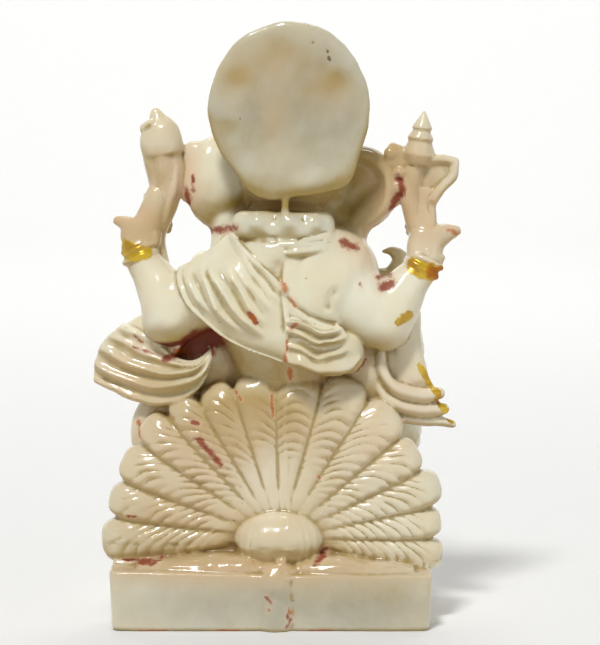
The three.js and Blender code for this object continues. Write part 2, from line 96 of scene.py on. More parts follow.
def spline(points, samples):
    """Centripetal Catmull-Rom curve. Between two points it is a cubic whose end slopes lean on the
    neighbouring points, with knots spaced by the root of the distance. samples run from 0 to 1."""
    p = np.asarray(points, float)
    n = len(p)
    ext = np.vstack([2 * p[0] - p[1], p, 2 * p[-1] - p[-2]])
    gaps = np.maximum(np.linalg.norm(np.diff(ext[:, :3], axis=0), axis=1), 1e-6) ** 0.5
    t = np.clip(np.asarray(samples, float), 0, 1) * (n - 1)
    i = np.clip(np.floor(t).astype(int), 0, n - 2)
    w = (t - i)[:, None]
    p0, p1, p2, p3 = ext[i], ext[i + 1], ext[i + 2], ext[i + 3]
    d0, d1, d2 = gaps[i][:, None], gaps[i + 1][:, None], gaps[i + 2][:, None]
    m1 = ((p1 - p0) / d0 - (p2 - p0) / (d0 + d1) + (p2 - p1) / d1) * d1
    m2 = ((p2 - p1) / d1 - (p3 - p1) / (d1 + d2) + (p3 - p2) / d2) * d1
    h = w * w * (3 - 2 * w)
    return (1 - h) * p1 + h * p2 + w * (1 - w) ** 2 * m1 - w * w * (1 - w) * m2


def unit(v):
    """Vectors scaled to length one along the last axis."""
    v = np.asarray(v, float)
    return v / np.maximum(np.linalg.norm(v, axis=-1, keepdims=True), 1e-9)


def smoothstep(low, high, x):
    """0 below low, 1 above high and the cubic 3t^2 - 2t^3 between them."""
    t = np.clip((x - low) / (high - low), 0, 1)
    return t * t * (3 - 2 * t)


def squared_off(x, power):
    """x to a power with its sign kept, which turns a circle into a rounded square."""
    return np.sign(x) * np.abs(x) ** power


def quads(a, b, c, d):
    """Two triangles for each quad with the corners a, b, c and d."""
    a, b, c, d = (np.ravel(corner) for corner in (a, b, c, d))
    return np.concatenate([np.stack([a, b, c], 1), np.stack([a, c, d], 1)])


def skin(rings, start, end):
    """A closed surface: a grid of rings, round in its second index, with a fan to a pole at each end."""
    count, sides = rings.shape[:2]
    grid = np.arange(count * sides).reshape(count, sides)
    after = np.roll(grid, -1, axis=1)
    first = np.full(sides, count * sides)
    faces = np.concatenate([
        quads(grid[:-1], grid[1:], after[1:], after[:-1]),
        np.stack([first, grid[0], after[0]], 1),
        np.stack([first + 1, after[-1], grid[-1]], 1),
    ])
    return np.vstack([rings.reshape(-1, 3), start, end]), faces


def blob(centre, radii, turn=(0, 0, 0), rows=20):
    """An ellipsoid: the unit sphere's rings from pole to pole, stretched by radii and turned by Euler
    angles in degrees."""
    polar = np.linspace(0, np.pi, rows + 1)[1:-1, None]
    around = np.linspace(0, 2 * np.pi, 2 * rows, endpoint=False)[None]
    rings = np.stack(np.broadcast_arrays(
        np.sin(polar) * np.cos(around), np.sin(polar) * np.sin(around), np.cos(polar)), -1)
    points, faces = skin(rings, (0, 0, 1), (0, 0, -1))
    matrix = np.array([list(row) for row in _euler(turn)])
    return (points * radii) @ matrix.T + centre, faces


def _euler(turn):
    """The rotation x then y then z in the same order as a three-axis Euler turn."""
    x, y, z = (math.radians(a) for a in turn)
    return Matrix.Rotation(x, 3, "X") @ Matrix.Rotation(y, 3, "Y") @ Matrix.Rotation(z, 3, "Z")


def limb(stations, facing=(0, 1, 0), folds=0, fold_depth=0.6, tips=(0, 0), squareness=1.0):
    """A profile carried along a path. Each station is x, y, z, half width, half depth. The profile is
    an ellipse, or a superellipse where squareness is below 1, plus folds: ridges with narrow valleys
    on the facing side. A tip of 0 is cut flat, 1 is a blunt dome and 2 a full one."""
    full = np.array([list(s) + [s[3]] * (5 - len(s)) for s in stations], float)
    rows = 10 * (len(stations) - 1) + 1
    t = np.linspace(0, 1, rows)
    curve = spline(full, t)
    centre, width, depth = curve[:, :3], curve[:, 3], curve[:, 4]
    along = unit(np.gradient(centre, axis=0))
    reach = np.array([0.0, 0.6, 1.0])
    cap = np.linspace(0, np.pi / 2, 8)[1:-1]
    smaller = np.minimum(width, depth)
    blocks, order = [], []
    for end, row in ((0, 0), (1, rows - 1)):
        sign = 1 if end else -1
        shift = sign * reach[tips[end]] * smaller[row] * np.sin(cap)
        blocks.append((centre[row] + shift[:, None] * along[row], np.cos(cap), np.full(len(cap), row)))
    (start_c, start_s, start_i), (end_c, end_s, end_i) = blocks
    centres = np.vstack([start_c[::-1], centre, end_c])
    scale = np.concatenate([start_s[::-1], np.ones(rows), end_s])
    index = np.concatenate([start_i, np.arange(rows), end_i])
    axis = along[index]
    outward = unit(np.asarray(facing, float) - (axis @ np.asarray(facing, float))[:, None] * axis)
    across = np.cross(axis, outward)
    angle = np.linspace(0, 2 * np.pi, 96 if folds else 40, endpoint=False)
    c, s = np.cos(angle), np.sin(angle)
    cs, ss = squared_off(c, squareness), squared_off(s, squareness)
    ridge = np.zeros_like(c)
    if folds:
        wave = 2 * np.abs(np.cos(np.pi * folds * c / 2)) - 1
        ridge = fold_depth * wave * np.sqrt(np.clip(s, 0, 1))
    aside = (across * (width[index] * scale)[:, None])[:, None] * cs[None, :, None]
    height = (depth[index] * scale)[:, None] * ss[None] + ridge[None] * scale[:, None]
    rings = centres[:, None] + aside + outward[:, None] * height[..., None]
    return skin(rings, centres[0] - 1e-3 * axis[0], centres[-1] + 1e-3 * axis[-1])


def cloth(guides, towards, thickness, ridges=(), bulge=0.0, rows=120, columns=130):
    """A thick sheet through guide curves, which run along its folds; across the guides it is a spline
    too. Its outer face rises by bulge times the root of a half sine across, and by each ridge: its
    height times the bell exp(-((v - centre) / width)^2) across, from its start to its end along. The
    ridges wander a little. The inner face lies a thickness below."""
    along = np.linspace(0, 1, rows)
    across = np.linspace(0, 1, columns)
    lines = np.stack([spline(g, along) for g in guides])
    grid = np.stack([spline(lines[:, i], across) for i in range(rows)], 1)
    normal = unit(np.cross(np.gradient(grid, axis=1), np.gradient(grid, axis=0)))
    flip = np.sign((normal * np.asarray(towards, float)).sum(-1, keepdims=True))
    normal = unit(normal * np.where(flip == 0, 1, flip) + 0.6 * unit(towards))
    v, u = across[:, None], along[None]
    rise = bulge * np.sqrt(np.clip(np.sin(np.pi * v), 0, 1)) * np.ones_like(u)
    for centre, width, height, start, end in ridges:
        path = centre + 0.016 * np.sin(8 * u + 23 * centre) + 0.008 * np.sin(19 * u + 7 * centre)
        reach = smoothstep(start - 0.08, start + 0.12, u) * (1 - smoothstep(end - 0.22, end + 0.04, u))
        rise = rise + height * reach * np.exp(-((v - path) / width) ** 2)
    return shell(grid + normal * rise[..., None], grid - normal * thickness)


def shell(outer, inner):
    """A closed slab between two grids of the same shape, with a wall round their border."""
    n, m = outer.shape[:2]
    grid = np.arange(n * m).reshape(n, m)
    top = quads(grid[:-1, :-1], grid[1:, :-1], grid[1:, 1:], grid[:-1, 1:])
    border = np.concatenate([grid[0, :-1], grid[:-1, -1], grid[-1, :0:-1], grid[:0:-1, 0]])
    after = np.roll(border, -1)
    low = n * m
    faces = np.concatenate([top, top[:, ::-1] + low, quads(border, after, after + low, border + low)])
    return np.vstack([outer.reshape(-1, 3), inner.reshape(-1, 3)]), faces


def plate(centre, u, v, outline, back, front, sides=120):
    """A disc-like body: each face's height along u x v is a function of the share of the outline's
    reach and of the angle, and the rim between them is round."""
    u, v, centre = (np.asarray(x, float) for x in (u, v, centre))
    normal = unit(np.cross(u, v))
    angle = np.linspace(0, 2 * np.pi, sides, endpoint=False)[None]
    share = np.sin(np.linspace(0, np.pi / 2, 28))[1:, None]
    reach = outline(angle)

    def face(height):
        h = np.broadcast_to(height(share, angle), (len(share), sides))
        flat = (share * reach)[..., None]
        out = np.cos(angle)[..., None] * u + np.sin(angle)[..., None] * v
        return centre + flat * out + h[..., None] * normal

    def pole(height):
        return centre + float(np.ravel(height(np.zeros((1, 1)), np.zeros((1, 1))))[0]) * normal

    rings = np.concatenate([face(back), face(front)[::-1]])
    return skin(rings, pole(back), pole(front))


def turned(profile, centre, squash=1.0, tilt=0.0):
    """A lathe shape: radius and height pairs spun about the vertical, squashed along y and tilted
    about y by an angle in degrees."""
    p = np.array(profile, float)
    t = np.linspace(0, len(p) - 1, 8 * (len(p) - 1) + 1)
    r = np.interp(t, np.arange(len(p)), p[:, 0])
    z = np.interp(t, np.arange(len(p)), p[:, 1])
    angle = np.linspace(0, 2 * np.pi, 64, endpoint=False)
    rings = np.stack(np.broadcast_arrays(
        r[1:-1, None] * np.cos(angle), squash * r[1:-1, None] * np.sin(angle), z[1:-1, None]), -1)
    points, faces = skin(rings, (0, 0, z[0]), (0, 0, z[-1]))
    a = math.radians(tilt)
    turn = np.array([[math.cos(a), 0, math.sin(a)], [0, 1, 0], [-math.sin(a), 0, math.cos(a)]])
    return points @ turn.T + centre, faces


def band(centre, axis, radius, cord):
    """A ring: a circle of radius cord carried round a larger one that faces along axis."""
    axis = unit(axis)
    side = unit(np.cross(axis, (0.3, 1.0, 0.2)))
    other = np.cross(axis, side)
    big = np.linspace(0, 2 * np.pi, 48, endpoint=False)
    small = np.linspace(0, 2 * np.pi, 14, endpoint=False)
    out = np.cos(big)[:, None] * side + np.sin(big)[:, None] * other
    rings = (np.asarray(centre, float) + out[:, None] * (radius + cord * np.cos(small))[None, :, None]
             + axis * (cord * np.sin(small))[None, :, None])
    n, m = rings.shape[:2]
    grid = np.arange(n * m).reshape(n, m)
    ahead = np.roll(grid, -1, 0)
    return rings.reshape(-1, 3), quads(grid, ahead, np.roll(ahead, -1, 1), np.roll(grid, -1, 1))


# The forms of the statue, in millimetres

def plinth():
    """The block: a rounded rectangle carried upwards, which draws in a little towards the underside
    and is rounded along its edges. Its top lies a little lower to the right of the seam."""
    width, depth, height = PLINTH["width"], PLINTH["depth"], PLINTH["height"]
    edge, power = PLINTH["edge"], PLINTH["squareness"]
    turn = np.linspace(0, np.pi / 2, 8)
    rise = np.concatenate([edge * (1 - np.cos(turn)), height - edge + edge * np.sin(turn)])
    inset = np.concatenate([edge * (1 - np.sin(turn)), edge * (1 - np.sin(turn[::-1]))])
    angle = np.linspace(0, 2 * np.pi, 200, endpoint=False)
    cx, cy = squared_off(np.cos(angle), power), squared_off(np.sin(angle), power)
    share = 1 - PLINTH["draft"] * (1 - rise / height)
    x = (width / 2 - inset)[:, None] * share[:, None] * cx
    y = (depth / 2 - inset)[:, None] * share[:, None] * cy
    z = rise[:, None] + (0.45 * np.tanh((x + 1) / 2) - 0.25) * (rise[:, None] / height) ** 2
    return [skin(np.stack([x, y, z], -1), (0, 0, 0), (0, 0, height))]


def feather_at(angle):
    """For angles in degrees about the fan's root: the feather's number, width and length, the place
    across it from -1 to 1 and whether the angle lies on the fan."""
    widths, lengths = np.array(FEATHERS).T
    edges = FAN_START + np.concatenate([[0], np.cumsum(widths)])
    i = np.clip(np.searchsorted(edges, angle, side="right") - 1, 0, len(FEATHERS) - 1)
    across = 2 * (angle - edges[i]) / widths[i] - 1
    inside = (angle >= edges[0]) & (angle <= edges[-1])
    return i, widths[i], lengths[i], np.clip(across, -1, 1), inside


def place_on_fan(points):
    """For points of the fan: the distance from its root, the angle, and what feather_at gives."""
    x, z = points[:, 0] - FAN_ROOT[0], points[:, 2] - FAN_ROOT[1]
    angle = np.degrees(np.arctan2(z, x))
    angle = np.where(angle < FAN_START - 40, angle + 360, angle)
    return np.hypot(x, z), angle, *feather_at(angle)


def fan():
    """The feathers as one ribbed plate: the reach is each feather's length, rounded at its tip, and
    each face bulges by (1 - |f|^3)^0.6 across a feather and drops away round the tips. The rump is
    an ellipsoid, and a low mound carries the fan."""
    start = FAN_START
    last = start + sum(width for width, _ in FEATHERS)
    on = np.linspace(start, last, 26 * len(FEATHERS) + 1)
    off = np.linspace(last, 360 + start, 40)[1:-1]
    angle = np.concatenate([on, off])
    _, _, length, f, _ = feather_at(angle)
    inside = np.arange(len(angle)) < len(on)
    skirt = FAN_SKIRT / np.maximum(np.abs(np.sin(np.radians(angle))), 0.12)
    reach = np.where(inside, length * (1 - 0.075 * np.abs(f) ** 3.8), np.minimum(skirt, FEATHERS[-1][1]))
    skew = np.clip(((start + last) / 2 - angle) / 80, -1, 1)
    bent = np.clip(f + 0.3 * skew * (1 - f * f), -1, 1)
    bump = np.where(inside, (1 - np.abs(bent) ** 3) ** 0.6, 0)
    roll_start = 0.84
    rounding = np.sin(np.linspace(0, np.pi / 2, 12))[1:]
    share = np.concatenate([np.linspace(0.06, roll_start, 28), roll_start + (1 - roll_start) * rounding])
    roll = np.sqrt(np.clip(1 - ((share - roll_start) / (1 - roll_start)).clip(0, 1) ** 2, 0, 1))
    up = np.maximum(0, np.sin(np.radians(angle)))
    valley = FAN_BACK - FAN_LEAN * reach[None] * share[:, None] * up[None]
    rising = np.sqrt(share) * (0.4 + 0.6 * smoothstep(0.2, 0.55, share))
    rising *= 1 - 0.45 * smoothstep(0.72, 1, share)
    swell = FAN_SWELL * rising[:, None] * bump[None]
    back = valley + (swell - 0.1) * (0.4 + 0.6 * roll[:, None]) - 3.2 * (1 - roll[:, None])
    front = valley - FAN_THICKNESS + 2.4 * (1 - roll[:, None]) - 0.6 * swell * roll[:, None]
    x = FAN_ROOT[0] + share[:, None] * reach * np.cos(np.radians(angle))
    z = FAN_ROOT[1] + share[:, None] * reach * np.sin(np.radians(angle))
    rings = np.concatenate([np.stack([x, back, z], -1), np.stack([x, front, z], -1)[::-1]])
    root = (FAN_ROOT[0], FAN_BACK, FAN_ROOT[1])
    return [
        skin(rings, root, (root[0], root[1] - FAN_THICKNESS, root[2])),
        blob((FAN_ROOT[0] + RUMP_SHIFT[0], 14.8, FAN_ROOT[1] + RUMP_SHIFT[1]), RUMP_RADII),
        blob((-1.6, 19.6, 12.6), (4.6, 3, 2)),
        limb([(-2.4, 20.8, 11, 1.5, 1.2), (-2.2, 20.2, 15, 1.3, 1.2)], tips=(0, 1)),
        limb([(34, 9, 12.4, 6.5, 2.4), (20, 9.4, 12.6, 7.2, 2.8), (FIGURE_X, 9.6, 12.8, 7.8, 3.2),
              (-20, 9.4, 12.6, 7.2, 2.6), (-34, 9, 12.4, 6.5, 2.2)], facing=(0, 0, 1)),
        limb([(28, 15, 12.6, 5.6, 1.6), (16, 16, 12.9, 5.6, 2.6), (7, 17, 13, 5, 3), (2, 16, 12.8, 5, 2)],
             facing=(0, 0, 1), tips=(1, 1)),
        limb([(-6, 16, 12.8, 5, 2), (-12, 17, 12.9, 5, 2.8), (-20, 16, 12.6, 5.6, 2),
              (-30, 15, 12.4, 5.4, 1.4)], facing=(0, 0, 1), tips=(1, 1)),
    ]


def torso():
    """The trunk of the body as one limb from hips to neck, the cushion, and the flanks."""
    x = FIGURE_X
    return [
        limb([(x, 0, 15, 20, 10), (x, -1, 24, 23, 12), (x, -5, 32, 21.5, 15.5), (x, -6.6, 41, 20.4, 17.6),
              (x, -5, 50, 18.2, 17), (x, 0, 58, 14.2, 12.6), (x, 1.4, 65, 17.6, 14.2),
              (x, 1.7, 73, 18.2, 14.2), (x, 2.2, 81, 14.2, 11.2), (x, 1.8, 89, 9, 7.8)]),
        blob((-9.5, 3.6, 73.5), (14.5, 11.5, 13), turn=(0, 20, 0)),
        blob((1.5, 6, 78.2), (8, 8.8, 6.4), turn=(0, 40, 0)),
        turned([(0, 0), (28, 0), (30.2, 1.6), (30.4, 3), (28.8, 5), (26.5, 6), (0, 6)], (0.5, -4, 12.4),
               squash=0.62),
        blob((-19.6, 2, 52), (8.8, 6, 9.4)),
        blob((12.6, 2, 57), (7.6, 5.6, 9.8)),
        blob((20, 3, 43.6), (7.8, 4.6, 7.4)),
    ]


def legs():
    """The left leg lies folded on the cushion, the right knee stands up with its foot on the plinth."""
    pleated = {"facing": (0, -0.6, 1), "folds": 5, "fold_depth": 0.4, "tips": (0, 2)}
    return [
        limb([(9, -3, 28, 10, 9), (19, -6, 26, 9.5, 8.5), (27.5, -9.5, 24, 7.6, 7.5)], **pleated),
        limb([(27, -10.5, 22.5, 6.8, 6.2), (17, -17.5, 21.5, 5.8, 5.2), (5, -20, 21, 4.4, 4)]),
        limb([(-10, -3, 27, 10, 9), (-19, -7, 33, 9, 8.5), (-27, -10, 39.4, 7.5, 7)], **pleated),
        limb([(-27, -10.5, 38, 7, 6.4), (-24, -14, 27, 5.6, 5.2), (-22, -14.5, 17.5, 4.2, 4)]),
        limb([(24.4, 3, 48, 3.4, 3), (27.2, 3, 41.6, 3.8, 3.2), (27, 3, 35, 3.4, 3)]),
    ]


def feet():
    """The two feet, each with a cord round its ankle."""
    return [
        band((6.6, -19.8, 21), (-1, -0.2, 0), 4.6, 0.8),
        band((-22.2, -14.4, 19.6), (0.1, 0, 1), 4.4, 0.8),
        *foot((2.5, -20, 20.6), (-1, -0.12, -0.06)),
        *foot((-22, -13.5, 14.6), (0.14, -1, 0)),
    ]


def foot(heel, direction):
    """A foot from its heel, with five toes across its end."""
    ahead = unit(direction)
    aside = unit(np.cross(ahead, (0, 0, 1)))

    def at(along, across, up):
        return tuple(np.asarray(heel) + along * ahead + across * aside + np.array([0, 0, up]))

    sole = limb([at(-1, 0, 1.2) + (2.8, 2.8), at(3.4, 0, 0.6) + (3.2, 2.4), at(6.4, 0, 0) + (3.8, 1.8)],
                facing=(0, 0, 1), tips=(1, 0))
    toes = [
        limb([at(6, (i - 2) * 1.6, 0.1) + (thick,), at(8.9 - 0.4 * i, (i - 2) * 1.6, 0.1) + (thick,)],
             tips=(0, 2))
        for i, thick in enumerate((1.15, 0.9, 0.9, 0.9, 0.85))
    ]
    return [sole, *toes]


def arms():
    """The two arms at the back, each raised from its elbow, and the two at the front."""
    return [
        limb([(6, 4.5, 76.5, 7.5, 7), (15, 6.5, 71, 7.4, 6.8), (21.4, 7.2, 66.6, 6.5, 6)], tips=(1, 1)),
        limb([(21.6, 7.2, 66.4, 6.8, 6.3), (23.2, 6.6, 70.6, 5.8, 5.6), (25.6, 5.7, 74.8, 4.6, 4.6),
              (28.4, 4.8, 79.2, 3.7, 3.6), (29.2, 4.2, 82.6, 4, 3.2)], tips=(2, 0)),
        limb([(-10, 3.6, 75.5, 8, 7.6), (-17, 6.2, 70.6, 8.2, 7.2), (-24, 7.2, 65, 6.8, 6.2)], tips=(1, 1)),
        limb([(-24.2, 7.2, 65.2, 6.9, 6.2), (-27.2, 6.6, 69.4, 5.8, 5.5), (-29.9, 5.8, 73.2, 4.6, 4.4),
              (-33, 5, 76.8, 3.7, 3.6), (-34.4, 4.4, 80.6, 4.2, 3.2)], tips=(2, 0)),
        limb([(12, -2, 75, 6.5, 6), (19, -3, 66, 5.8, 5.6), (20.5, -4, 58, 5, 5)], tips=(1, 1)),
        limb([(20.5, -4, 58, 5, 5), (19.6, -11, 53.5, 4.2, 4.2), (17, -18, 51.6, 3, 3)], tips=(2, 0)),
        limb([(-14.6, -2, 72.6, 6, 6), (-22.6, -3, 64.6, 5.4, 5.4), (-28.8, -5, 57.5, 5, 5)], tips=(1, 1)),
        limb([(-29.2, -5, 57.5, 5, 5), (-29.4, -10.5, 62, 4.2, 4.2), (-28.8, -13.7, 68.6, 3, 2.6)],
             tips=(2, 0)),
    ]


def bracelets():
    """Two cords round each raised wrist and one round each wrist in front."""
    return [
        band((28.5, 4.8, 79.1), (0.4, -0.1, 1), 3.6, 0.75),
        band((28.9, 4.6, 80.9), (0.3, -0.1, 1), 3.5, 0.6),
        band((-32.8, 5, 76.6), (-0.6, -0.1, 1), 3.6, 0.8),
        band((-33.8, 4.8, 78.3), (-0.5, -0.1, 1), 3.6, 0.65),
        band((17.6, -16.4, 52), (-0.3, -1, -0.25), 3.4, 0.7),
        band((-29, -13.2, 66.6), (0.1, -0.4, 1), 3.1, 0.7),
    ]


def finger(points, thick):
    """A finger or thumb through points, thinner towards its tip."""
    last = len(points) - 1
    return limb([tuple(p) + (thick * (1 - 0.2 * i / last),) for i, p in enumerate(points)], tips=(1, 2))


def row_of_fingers(start, end, spread, thick):
    """Four fingers side by side, each a limb of its own from one edge of the row to the other."""
    start, end, spread = (np.asarray(p, float) for p in (start, end, spread))
    lengths = (0.9, 1.0, 0.97, 0.82)
    return [
        finger([tuple(start + k * spread), tuple(start + k * spread + share * (end - start))], thick)
        for k, share in zip((-1.5, -0.5, 0.5, 1.5), lengths)
    ]


def hands():
    """Two hands grip what they hold up, one blesses, with a small curl beside it, and one carries
    sweets."""
    forms = [
        limb([(27.9, 4.6, 80.8, 3.7, 3.1), (28.3, 3.8, 83.6, 4.6, 3), (28.7, 3.3, 86.2, 4.3, 2.6)],
             tips=(0, 1), squareness=0.7),
        limb([(30.4, 3.4, 85.6, 2.1, 1.9), (32.6, 3.2, 86.6, 1.5, 1.5), (34, 3, 87, 1, 1)], tips=(0, 1)),
        limb([(26.9, 2.6, 86, 1.7, 1.7), (26.8, 2.2, 89.6, 1.3, 1.4), (26.8, 2, 92.4, 1.2, 1.3)],
             tips=(0, 1), squareness=0.7),
        limb([(-33.2, 5, 78, 3.5, 3.1), (-33.6, 4.2, 81.2, 4, 3), (-34, 3.8, 84, 3.6, 2.6)], tips=(0, 1),
             squareness=0.8),
        limb([(-33, 4.4, 81, 3.2, 2.8), (-37, 3.8, 83.8, 2.5, 2.2), (-40.9, 3.2, 84.9, 1.1, 1.2)],
             tips=(0, 1), squareness=0.75),
        limb([(-34, 3.6, 84, 2.2, 2), (-34.9, 3, 87.4, 1.4, 1.5), (-35.2, 2.8, 90.6, 0.9, 1)], tips=(0, 1)),
        limb([(28, 4.2, 83, 3.8, 2.8), (26.2, 3.6, 88, 3, 2.7), (24.8, 3, 93, 2.4, 2.4)], tips=(1, 1)),
        limb([(-34.2, 4.2, 81.5, 3.6, 2.9), (-33.4, 3.1, 86, 2.8, 2.2), (-32.4, 2.2, 90.6, 2, 1.6)],
             tips=(1, 2)),
        blob((-28.6, -14, 71.4), (3.8, 2, 4.2)),
        finger([(-26, -14.4, 70), (-23.6, -15.2, 74)], 1.15),
        blob((15.6, -20.8, 51.2), (4.2, 4.2, 1.9)),
        finger([(12.6, -19.6, 51.6), (11.2, -22, 54.8)], 1.15),
    ]
    forms += row_of_fingers((26.2, -0.4, 87.4), (22.4, -0.8, 86.4), (-0.2, -0.1, -1.25), 1.0)
    forms += row_of_fingers((-33.6, -0.4, 84.4), (-30.2, -1, 84.8), (-0.2, -0.1, -1.25), 1.0)
    forms += row_of_fingers((-30, -14.2, 73), (-30.6, -14.8, 78), (1.5, 0, 0), 0.9)[:2]
    curl = [(-24.2, -13.4, 73.4, 1.9), (-26.8, -13.4, 73.2, 2.3), (-28.8, -13.2, 75.4, 2.4),
            (-28.6, -12.8, 77.8, 1.9), (-27, -12.6, 79, 1.2), (-25.2, -12.6, 79, 0.5)]
    forms.append(limb(curl, tips=(1, 2)))
    forms += row_of_fingers((15.2, -22.6, 51.2), (14.6, -25, 54.2), (1.9, -0.2, 0), 0.95)
    sweets = [(13.9, -20.6, 53.6), (16.9, -20.8, 53.6), (15.4, -22.6, 53.9), (15.4, -19.2, 54.6),
              (15.4, -21, 55.6)]
    forms += [blob(place, (1.7, 1.7, 1.6), rows=12) for place in sweets]
    return forms


def emblems():
    """The lotus bud in the left hand, wrapped at its tip, and the ringed spike with a rimmed blade and
    a knob in the right."""
    return [
        limb([(24, 2.4, 76, 2, 2.4), (25.4, 2, 83, 2.1, 2.4), (23.4, 2, 90, 2.8, 2.6),
              (23, 2, 95.5, 3.8, 3.2), (23.7, 2, 100.6, 4.3, 3.7), (24, 2, 104, 4, 3.4),
              (24.5, 2, 107, 2.6, 2.4)], folds=2, fold_depth=0.3, tips=(0, 1)),
        limb([(24.6, 3.6, 84.6, 0.9), (22.8, 4, 89, 1), (21.2, 4.2, 95, 1), (20.8, 3.8, 99.6, 0.8)],
             tips=(1, 1)),
        limb([(23.5, 2.2, 101.4, 4.6, 4), (23.9, 2.2, 104, 4.7, 4), (24.3, 2.1, 107, 3.9, 3.3),
              (24.9, 2, 109.4, 1.9, 1.7), (25.3, 2, 110.8, 1, 0.9)], tips=(0, 1)),
        limb([(27.7, 2.4, 107, 1.1, 1.3), (26, 4.2, 108.4, 0.9, 1.1)], tips=(1, 1)),
        turned([(0, -2.5), (3.2, -1.8), (3.8, 0.4), (2.6, 3.2), (3, 3.9), (1.9, 5.5), (2.3, 6.2),
                (1.1, 8.2), (0, 10.2)], (-32.2, 2, 101), tilt=-7),
        limb([(-32.4, 2.6, 83, 2, 2.1), (-30.4, 2.4, 91, 2, 2), (-31, 2, 98.5, 2.8, 2.4)]),
        limb([(-33.4, 2.4, 82, 2.2, 2), (-33, 2.2, 88, 2.8, 1.8), (-33.4, 2.2, 94, 3.2, 1.5)]),
        limb([(-31, 2, 99.8, 2.4, 1.9), (-25.9, 2, 101.3, 2.8, 1.9)], tips=(0, 1), squareness=0.6),
        blob((-26, 3.4, 101.6), (1.5, 1.3, 1.5), rows=12),
        blob((-28, 3.2, 97.6), (1.6, 1.6, 1.2), rows=12),
        blob((-27.6, 3, 94.6), (1.3, 1.5, 1.3), rows=12),
        limb([(-32, 2, 96.8, 5.4, 1.2), (-36.4, 2.3, 97.8, 3.6, 1.1), (-39.2, 2.5, 98.6, 1.8, 1)],
             tips=(0, 1), squareness=0.7),
        limb([(-33.4, 3, 99.8, 1.1), (-37, 3.2, 100.4, 1.1), (-39.8, 3, 99.8, 1.1)], tips=(1, 2)),
        limb([(-40, 3, 99.8, 1.1), (-39.6, 3.2, 96.6, 1.1), (-37, 3.4, 93.8, 1.1), (-35.4, 3.4, 91.4, 1.2)],
             tips=(2, 1)),
        limb([(-35.4, 3, 91.6, 1.1), (-34.6, 2.8, 88, 1.2), (-33.6, 3, 84.6, 1.6)], tips=(2, 1)),
    ]


def jewellery():
    """Two necklace cords, the thread across the belly, armlets and a waistband, all in front."""
    return [
        limb([(-13.6, -7.6, 78.4, 0.8), (-9.6, -11.4, 73.6, 0.8), (-3, -13.2, 70.4, 0.8),
              (3.6, -11.4, 73.6, 0.8), (7.6, -7.6, 78.4, 0.8)]),
        limb([(-15, -7.2, 75.6, 1, 0.9), (-10.6, -11.2, 70, 1, 0.9), (-3, -13.3, 66, 1.2, 1),
              (4.6, -11.2, 70, 1, 0.9), (9, -7.2, 75.6, 1, 0.9)]),
        limb([(9.5, -8.8, 75, 0.8), (6, -11.2, 68, 0.8), (1, -11.9, 62, 0.8), (-3, -16.2, 56.5, 0.8),
              (-6, -20.2, 52, 0.8), (-14, -21.4, 44, 0.8), (-20, -16, 38, 0.8)]),
        limb([(-23, -7, 31, 1.6), (-15, -16, 28.4, 1.6), (-3, -19.4, 27.4, 1.7), (9, -15.6, 28.2, 1.6),
              (18, -7, 30, 1.5)], folds=3, fold_depth=0.3, facing=(0, -1, 0)),
        band((17.6, -2.8, 67.4), (0.5, -0.1, -1), 6.2, 0.8),
        band((-21.6, -2.9, 65.8), (-0.7, -0.1, -1), 5.6, 0.8),
    ]


def head():
    """The elephant's head and its trunk, which sways to the left and curls up at the end."""
    x = HEAD_X
    forms = [
        blob((x, -1.5, 98), (12, 10.5, 11.5)),
        limb([(x, -8, 98, 8, 7), (x, -12.8, 91, 6.2, 5.4), (x, -14.2, 84, 5, 4.6),
              (x + 0.2, -15.2, 77, 4.3, 4.1), (x + 1.4, -17.6, 69.5, 3.8, 3.7),
              (x + 4.6, -21.6, 62.4, 3.3, 3.2), (x + 9.5, -23.6, 58.6, 2.9, 2.8),
              (x + 13.6, -24, 60, 2.5, 2.4), (x + 13.4, -23.2, 63.4, 2.1, 2)], tips=(0, 1)),
    ]
    for side in (1, -1):
        forms += [
            blob((x + side * 4.8, -7.6, 101.6), (5.6, 5.2, 5.2)),
            blob((x + side * 6.6, -8.2, 92.6), (5.2, 5.6, 6.2)),
        ]
    return forms


def face():
    """The tiered crown with a leaf on its front, the eyes and lids, and the tusks, one of them broken."""
    x = HEAD_X
    forms = [
        turned([(0, 0), (11, 0), (11.5, 1.6), (9.6, 3.6), (9.9, 5.4), (7.6, 8.8), (7.7, 10.8), (5.6, 15),
                (4.4, 17.6), (0, 22.4)], (x, -0.5, 103)),
        limb([(x, -10.4, 104.6, 3, 1.6), (x, -7.4, 114, 1.4, 1.6)], facing=(0, -1, 0)),
    ]
    for side in (1, -1):
        forms += [
            blob((x + side * 7, -11.8, 97), (2, 1.5, 1.3), rows=12),
            limb([(x + side * 4.6, -11.6, 97.6, 0.5), (x + side * 7, -12.9, 98.5, 0.6),
                  (x + side * 9.2, -11, 97.8, 0.5)]),
            limb([(x + side * 4.8, -11.4, 96.2, 0.4), (x + side * 7, -12.7, 95.6, 0.45),
                  (x + side * 9, -11, 96.2, 0.4)]),
            limb([(x + side * 5, -11, 90.6, 1.8), (x + side * 8, -16.8, 88, 1.4 if side > 0 else 0.8)],
                 tips=(0, 1)),
        ]
    return forms


